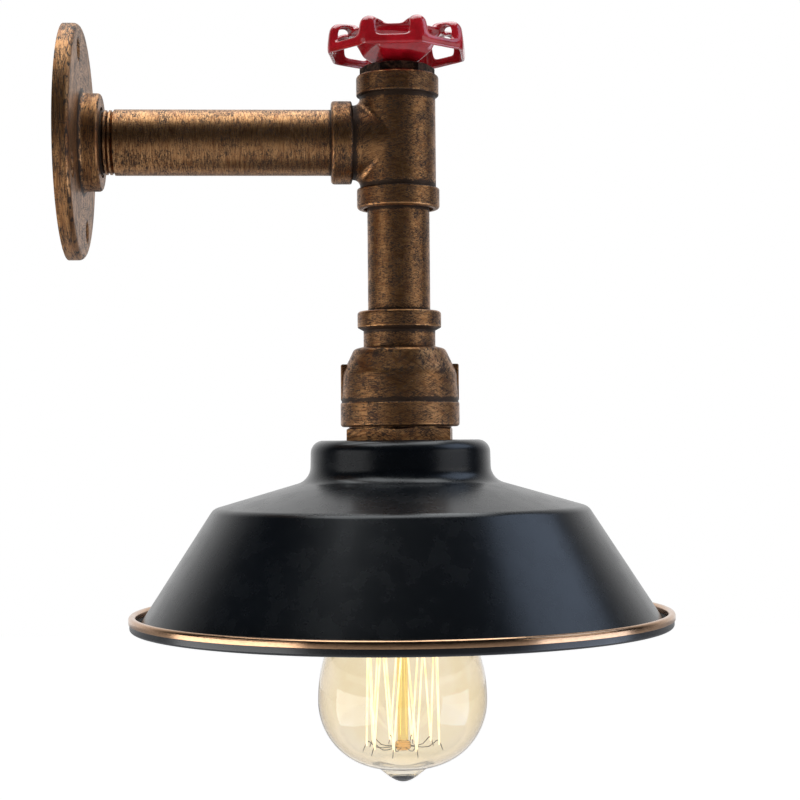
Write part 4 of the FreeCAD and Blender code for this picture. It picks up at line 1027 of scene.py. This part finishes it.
@dataclass
class Shade:
    """Black shade with its copper bead, and the ring that clamps it.

    Sizes are in millimetres, heights down from the shade's top. A mitre says how far the wall's inner
    corner lies from the outer one, as shares of the wall inwards and down.
    """

    light: Light
    wall: float = 1.4
    hole_gap: float = 0.3
    neck: float = 36.4
    neck_round: float = 5.0
    draft: float = 0.4
    flare_drop: float = 15.95
    flare_round: float = 7.2
    flare_mitre: Pair = (1.0, 0.75)
    shoulder: float = 76.0
    shoulder_drop: float = 27.3
    shoulder_round: float = 5.0
    shoulder_mitre: Pair = (0.41, 1.04)
    foot_round: float = 1.7
    foot_mitre: float = 0.65
    trough_width: float = 3.9
    rim: float = 110.0
    rim_top: float = 69.2
    rim_bottom: float = 75.2
    rim_recess: float = 0.4
    rim_foot_round: float = 1.2
    bead_height: float = 3.0
    bead_width: float = 2.9
    bead_round: float = 1.3
    bead_base_round: float = 0.2
    steps: int = 192

    def spinning(self) -> Piece:
        """Spin the shade: flat top, neck, two cones, a trough and the beaded rim.

        Returns:
            The shade.
        """
        hole_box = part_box("lampholder_shell")
        hole = (hole_box[1].x - hole_box[0].x) / 2 / MM + self.hole_gap
        wall, foot = self.wall, self.rim - self.trough_width
        outside, bead_base = self.rim - self.rim_recess, -(self.rim_top + self.bead_height)
        inside, drafted = self.rim - self.bead_width, self.neck + self.draft
        flare_in, flare_down = (wall * share for share in self.flare_mitre)
        shoulder_in, shoulder_down = (wall * share for share in self.shoulder_mitre)
        corners = [
            (hole, 0.0), (hole, -wall), (self.neck - wall, -wall, self.neck_round - wall),
            (drafted - flare_in, -self.flare_drop - flare_down, self.flare_round + wall),
            (self.shoulder - shoulder_in, -self.shoulder_drop - shoulder_down, self.shoulder_round - wall),
            (foot - wall * self.foot_mitre, -self.rim_bottom, self.foot_round + wall),
            (outside, -self.rim_bottom, self.rim_foot_round), (outside, bead_base),
            (self.rim, bead_base, self.bead_base_round), (self.rim, -self.rim_top, self.bead_round),
            (inside, -self.rim_top, self.bead_round), (inside, bead_base, self.bead_base_round),
            (outside - wall, bead_base), (outside - wall, -self.rim_bottom + wall),
            (foot, -self.rim_bottom + wall, self.foot_round),
            (self.shoulder, -self.shoulder_drop, self.shoulder_round),
            (drafted, -self.flare_drop, self.flare_round), (self.neck, 0.0, self.neck_round),
        ]
        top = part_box("lampshade")[1].z
        profile = [(radius * MM, top + height * MM) for radius, height in rounded(corners)]
        return Bench.lathe("shade_spinning", profile, (self.light.stem.x, 0.0, 0.0), self.steps)

    def dress(self) -> None:
        """Spin and paint the shade, and black its ring."""
        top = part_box("lampshade")[1].z / MM
        finish = SatinBlack("satin_black", Turning(Axis.STEM, (self.light.stem.x, 0.0, 0.0)),
                            top - self.rim_top - self.bead_height, self.rim - self.bead_width)
        self.light.fit(self.spinning(), Body.FIXTURE, finish, "lampshade", "lampshade")
        steel = Plain("blackened_steel", (0.02, 0.02, 0.022), (0.05, 0.045, 0.04), Sheen.DULL_METAL)
        self.light.dress(steel, "shade_ring")


@dataclass
class Lampholder:
    """Threaded holder, its ceramic and contacts, and the wires that feed it."""

    light: Light
    thread_pitch: float = 1.5
    thread_crest: float = 0.42
    thread_sink: float = 0.25
    thread_start: float = 1.4

    def dress(self) -> None:
        """Cut the holder's thread and finish the small parts."""
        low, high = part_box("lampholder_shell")
        stem = self.light.stem
        radius = (high.x - low.x) / 2
        ring_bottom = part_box("shade_ring")[0].z
        bottom = low.z + self.thread_start * MM
        turns = math.floor((ring_bottom - bottom) / (self.thread_pitch * MM))
        aged = Plain("holder_brass", (0.30, 0.20, 0.12), (0.10, 0.07, 0.045), Sheen.DULL_METAL,
                     mottle=2.2)
        thread = Bench.thread("lampholder_thread", (stem.x, 0.0, bottom), radius - self.thread_sink * MM,
                              self.thread_crest * MM, self.thread_pitch * MM, turns, sides=8)
        self.light.fit(thread, Body.FIXTURE, aged, "lampholder_shell")
        self.light.dress(aged, "lampholder_shell")
        small_parts = {
            Plain("clean_brass", (0.68, 0.50, 0.22), (0.46, 0.31, 0.13), Sheen.METAL):
                ("lampholder_lid", "screw_shell", "centre_contact", "terminal_blocks", "earth_tag"),
            Plain("zinc_screw", (0.60, 0.60, 0.58), (0.40, 0.40, 0.39), Sheen.METAL):
                ("terminal_screws", "earth_screw"),
            Plain("white_glaze", (0.80, 0.79, 0.75), (0.70, 0.68, 0.62), Sheen.GLAZE, mottle=4.0):
                ("ceramic_insert",),
            Plain("brown_insulation", (0.13, 0.045, 0.02), (0.10, 0.035, 0.016), Sheen.PLASTIC):
                ("live_wire",),
            Plain("blue_insulation", (0.02, 0.09, 0.38), (0.016, 0.07, 0.30), Sheen.PLASTIC):
                ("neutral_wire",),
            Striped("earth_insulation"): ("earth_wire",),
        }
        for finish, nodes in small_parts.items():
            self.light.dress(finish, *nodes)


@dataclass
class Bulb:
    """Pear-shaped bulb; sizes in millimetres, heights down from the tip of its contact.

    A hook sags at a share of its reach, then bends at places counted from its reach and its level.
    """

    light: Light
    wall: float = 0.8
    neck_radius: float = 12.5
    neck_top: float = 19.5
    neck_drop: float = 32.0
    widest_radius: float = 34.3
    widest_drop: float = 92.2
    upper_radius: float = 62.0
    lower_radius: float = 27.2
    base_radius: float = 13.0
    base_rise: float = 0.4
    tip_radius: float = 11.0
    tip_height: float = 6.25
    tip_fullness: float = 0.6
    tip_steps: int = 14
    floor_dome: float = 0.15
    arc_steps: tuple[int, int, int] = (14, 24, 26)
    spin_steps: int = 144
    hook_wire: float = 0.17
    hook_count: int = 9
    hook_pitch: float = 36.0
    hook_reach: float = 14.8
    hook_drop: float = 111.0
    hook_start: float = -0.4
    hook_sag: Pair = (0.55, -0.9)
    hook_bends: tuple[Pair, ...] = ((-4.2, -0.6), (-2.6, 0.5), (-1.3, 1.6), (-0.6, 1.9), (0.1, 1.2),
                                    (0.9, -0.6), (1.5, -2.2))
    button_radius: float = 3.2
    button_rise: float = 2.2
    cap_thread_pitch: float = 3.629
    cap_thread_radius: float = 12.55
    cap_thread_crest: float = 0.8
    cap_thread_turns: float = 3.6
    cap_thread_start: float = 5.2

    def _wall(self, offset: float) -> list[Pair]:
        """Neck, flare, upper and lower bowl, moved inwards by an offset.

        Args:
            offset: Distance in from the outside.

        Returns:
            Corners from the neck's top to the base, in millimetres.
        """
        neck = self.neck_radius - offset
        upper = self.upper_radius - offset
        lower = self.lower_radius - offset
        axis_side = self.upper_radius - self.widest_radius
        rise = self.widest_drop - self.neck_drop
        reach = neck + axis_side
        flare = (upper ** 2 - rise ** 2 - reach ** 2) / (2 * (reach - upper))
        meet = math.atan2(rise, reach + flare)
        inset = self.widest_radius - self.lower_radius
        base_angle = -math.acos((self.base_radius - inset) / lower)
        flare_steps, upper_steps, lower_steps = self.arc_steps
        points = [(neck, -self.neck_top), (neck, -(self.neck_top + self.neck_drop) / 2)]
        points += arc((neck + flare, -self.neck_drop), flare, math.pi, math.pi + meet, flare_steps)
        points += arc((-axis_side, -self.widest_drop), upper, meet, 0.0, upper_steps)[1:]
        points += arc((inset, -self.widest_drop), lower, 0.0, base_angle, lower_steps)[1:]
        return points

    def envelope(self, tip: float) -> Piece:
        """Glass of even wall with a solid tip.

        Args:
            tip: Height of the contact's tip, in metres.

        Returns:
            The envelope.
        """
        outside = self._wall(0.0)
        inside = self._wall(self.wall)
        floor = outside[-1][1] - self.base_rise
        ceiling = floor + self.wall
        profile = [(0.0, ceiling), (self.base_radius / 2, ceiling + self.floor_dome)]
        profile += inside[::-1] + outside
        for step in range(self.tip_steps, -1, -1):
            share = step / self.tip_steps
            swell = (0.5 + 0.5 * math.cos(math.pi * share)) ** self.tip_fullness
            profile.append((self.tip_radius * share, floor - self.tip_height * swell))
        scaled = [(radius * MM, tip + height * MM) for radius, height in profile]
        return Bench.lathe("bulb_envelope", scaled, (self.light.stem.x, 0.0, 0.0), self.spin_steps)

    def hooks(self, tip: float) -> Piece:
        """Hooks at the lower button: each runs out, loops up round its thread and ends outside it.

        Args:
            tip: Height of the contact's tip, in metres.

        Returns:
            All hooks as one object.
        """
        level = tip - self.hook_drop * MM
        share, sag = self.hook_sag
        shape = [(self.button_radius, self.hook_start), (self.hook_reach * share, sag)]
        shape += [(self.hook_reach + past, height) for past, height in self.hook_bends]
        made = []
        for number in range(self.hook_count):
            angle = math.radians(number * self.hook_pitch)
            points = [(self.light.stem.x + radius * MM * math.cos(angle), radius * MM * math.sin(angle),
                       level + height * MM) for radius, height in shape]
            made.append(Bench.wire(f"hook_{number}", points, self.hook_wire * MM))
        Bench.clear()
        for hook in made:
            hook.select_set(True)
        bpy.context.view_layer.objects.active = made[0]
        bpy.ops.object.join()
        made[0].name = made[0].data.name = "lower_hooks"
        return made[0]

    def dress(self) -> None:
        """Blow the glass, bend the hooks, roll the cap's thread and finish the rest."""
        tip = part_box("bulb_contact")[1].z
        light = self.light
        light.fit(self.envelope(tip), Body.BULB, AmberGlass("amber_glass"), "bulb_glass", "bulb_glass")
        dark_wire = Plain("dark_wire", (0.06, 0.045, 0.035), (0.16, 0.11, 0.07), Sheen.METAL)
        light.fit(self.hooks(tip), Body.BULB, dark_wire, "lower_supports", "lower_supports")
        nickel = Plain("cap_nickel", (0.66, 0.62, 0.55), (0.46, 0.42, 0.36), Sheen.METAL)
        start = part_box("bulb_cap")[0].z + self.cap_thread_start * MM
        thread = Bench.thread("bulb_cap_thread", (light.stem.x, 0.0, start), self.cap_thread_radius * MM,
                              self.cap_thread_crest * MM, self.cap_thread_pitch * MM, self.cap_thread_turns)
        light.fit(thread, Body.BULB, nickel, "bulb_cap")
        light.dress(nickel, "bulb_cap")
        solder = Plain("solder", (0.52, 0.51, 0.49), (0.38, 0.37, 0.36), Sheen.METAL)
        light.dress(solder, "bulb_contact")
        vitreous = Plain("black_vitreous", (0.012, 0.011, 0.012), (0.02, 0.018, 0.018), Sheen.VITREOUS)
        light.dress(vitreous, "bulb_insulator")
        rod = AmberGlass("amber_rod", (0.97, 0.84, 0.42), (0.95, 0.76, 0.32), (0.90, 0.55, 0.16),
                         deep_below=tip - (self.hook_drop - self.button_rise) * MM)
        light.dress(rod, "glass_mount")
        light.dress(dark_wire, "upper_supports", "lead_wires")
        light.dress(Glowing("filament_glow"), "filament")


# ------------------------------------------------------------------ studio
STEM_MIDDLE: Point = (0.13, 0.0, -0.12)
SHADE_MIDDLE: Point = (0.13, 0.0, -0.22)


@dataclass(frozen=True)
class SoftBox:
    """Rectangular lamp: where it hangs, what it faces, its width and height in metres and its watts."""

    name: str
    place: Point
    target: Point
    size: Pair
    power: float
    colour: Colour = WHITE

    def hang(self) -> None:
        """Add the lamp to the scene; glass shows no image of it from behind."""
        data = bpy.data.lights.new(self.name, "AREA")
        data.shape = "RECTANGLE"
        data.size, data.size_y = self.size
        data.energy = self.power
        data.color = self.colour
        lamp = bpy.data.objects.new(self.name, data)
        bpy.context.scene.collection.objects.link(lamp)
        lamp.location = self.place
        lamp.visible_transmission = False
        lamp.rotation_euler = (Vector(self.target) - Vector(self.place)).to_track_quat("-Z", "Y").to_euler()


BOXES = (
    SoftBox("left_box", (-0.75, -0.38, 0.08), STEM_MIDDLE, (0.8, 0.32), 0.6),
    SoftBox("right_box", (1.05, -0.38, 0.10), STEM_MIDDLE, (0.8, 0.35), 0.80),
    SoftBox("low_left_box", (-0.58, -0.22, -0.42), SHADE_MIDDLE, (0.9, 0.44), 3.7),
    SoftBox("low_right_box", (0.85, -0.22, -0.42), SHADE_MIDDLE, (0.67, 0.42), 2.7, (0.70, 0.80, 1.0)),
    SoftBox("upper_right_box", (0.95, 0.00, 0.58), STEM_MIDDLE, (0.7, 0.5), 2.0, (0.62, 0.76, 1.0)),
    SoftBox("top_box", (0.05, 0.18, 0.95), (0.10, 0.0, 0.0), (1.2, 0.95), 11.0, (0.94, 0.98, 1.0)),
)


@dataclass
class Studio:
    """White background, soft boxes and the camera, all in metres and degrees."""

    floor_height: float = -0.95
    floor_size: float = 14.0
    floor_colour: Colour = (0.86, 0.86, 0.86)
    floor_rough: float = 0.9
    floor_glow: float = 0.75
    floor_in_metal: float = 0.10
    eye: Point = (0.0913, -0.725, -0.1214)
    yaw: float = 3.37
    pitch: float = 1.285
    roll: float = -0.5
    lens: float = 80.2
    sensor: float = 36.0
    room_colour: Colour = (0.30, 0.30, 0.31)
    room_in_metal: float = 0.05
    behind: Pair = (0.30, 0.95)

    def camera(self) -> None:
        """Stand the camera where the photographer stood."""
        data = bpy.data.cameras.new("camera")
        data.lens = self.lens
        data.sensor_width = self.sensor
        camera = bpy.data.objects.new("camera", data)
        bpy.context.scene.collection.objects.link(camera)
        camera.location = self.eye
        yaw = Matrix.Rotation(math.radians(-self.yaw), 4, "Z")
        pitch = Matrix.Rotation(math.radians(90.0 + self.pitch), 4, "X")
        roll = Matrix.Rotation(math.radians(self.roll), 4, "Z")
        camera.rotation_euler = (yaw @ pitch @ roll).to_euler()
        bpy.context.scene.camera = camera

    def world(self) -> None:
        """White for the camera and glass, and behind the object for metal; a dim room for the rest."""
        world = bpy.data.worlds.new("studio")
        bpy.context.scene.world = world
        world.use_nodes = True
        world.node_tree.nodes.clear()
        sky = Tree(world.node_tree)
        rays = sky.node("LightPath").outputs
        metal = rays["Is Glossy Ray"]
        depth = sky.split(sky.node("TexCoord").outputs["Generated"])[1]
        seen = sky.math("MAXIMUM", rays["Is Camera Ray"],
                        sky.math("MULTIPLY", metal, sky.span(depth, *self.behind)))
        room = sky.node("Background", (*self.room_colour, 1.0),
                        sky.span(metal, 0.0, 1.0, 1.0, self.room_in_metal))
        white = sky.node("Background", (*WHITE, 1.0))
        mix = sky.node("MixShader", sky.math("MAXIMUM", seen, rays["Is Transmission Ray"]),
                       room.outputs[0], white.outputs[0])
        sky.node("OutputWorld", mix.outputs[0])

    def floor(self) -> None:
        """Pale floor well below the light; the camera sees it white, with its shadows."""
        Bench.clear()
        bpy.ops.mesh.primitive_plane_add(size=self.floor_size, location=(0.0, 0.0, self.floor_height))
        floor = bpy.context.object
        floor.name = floor.data.name = "floor"
        board = Board("floor_white")
        rays = board.node("LightPath").outputs
        seen = board.math("MAXIMUM", rays["Is Camera Ray"], rays["Is Transmission Ray"])
        board.set(Base_Color=(*self.floor_colour, 1.0), Roughness=self.floor_rough)
        strength = board.math("ADD", board.math("MULTIPLY", seen, self.floor_glow),
                              board.math("MULTIPLY", rays["Is Glossy Ray"], self.floor_in_metal))
        glow = board.node("Emission", (*WHITE, 1.0), strength)
        both = board.node("AddShader", board.shader.outputs[0], glow.outputs[0])
        board.feed(board.tree.nodes["Material Output"].inputs["Surface"], both.outputs[0])
        floor.data.materials.append(board.material)
        floor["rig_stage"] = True

    def build(self) -> None:
        """Set up camera, world, floor and lamps."""
        self.camera()
        self.world()
        self.floor()
        for box in BOXES:
            box.hang()
        bpy.context.scene.view_settings.view_transform = "Standard"


def corners() -> list[list[float]]:
    """Box of the shown object as plain lists."""
    return [list(corner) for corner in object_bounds()]


def main() -> None:
    """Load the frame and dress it."""
    logging.basicConfig(level=logging.INFO, format="%(name)s %(message)s")
    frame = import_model()
    light = Light(frame["nodes"])
    for part in (Pipework(light), WheelSet(light), Shade(light), Lampholder(light), Bulb(light)):
        part.dress()
    Studio().build()
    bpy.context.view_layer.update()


if __name__ == "__main__":
    main()
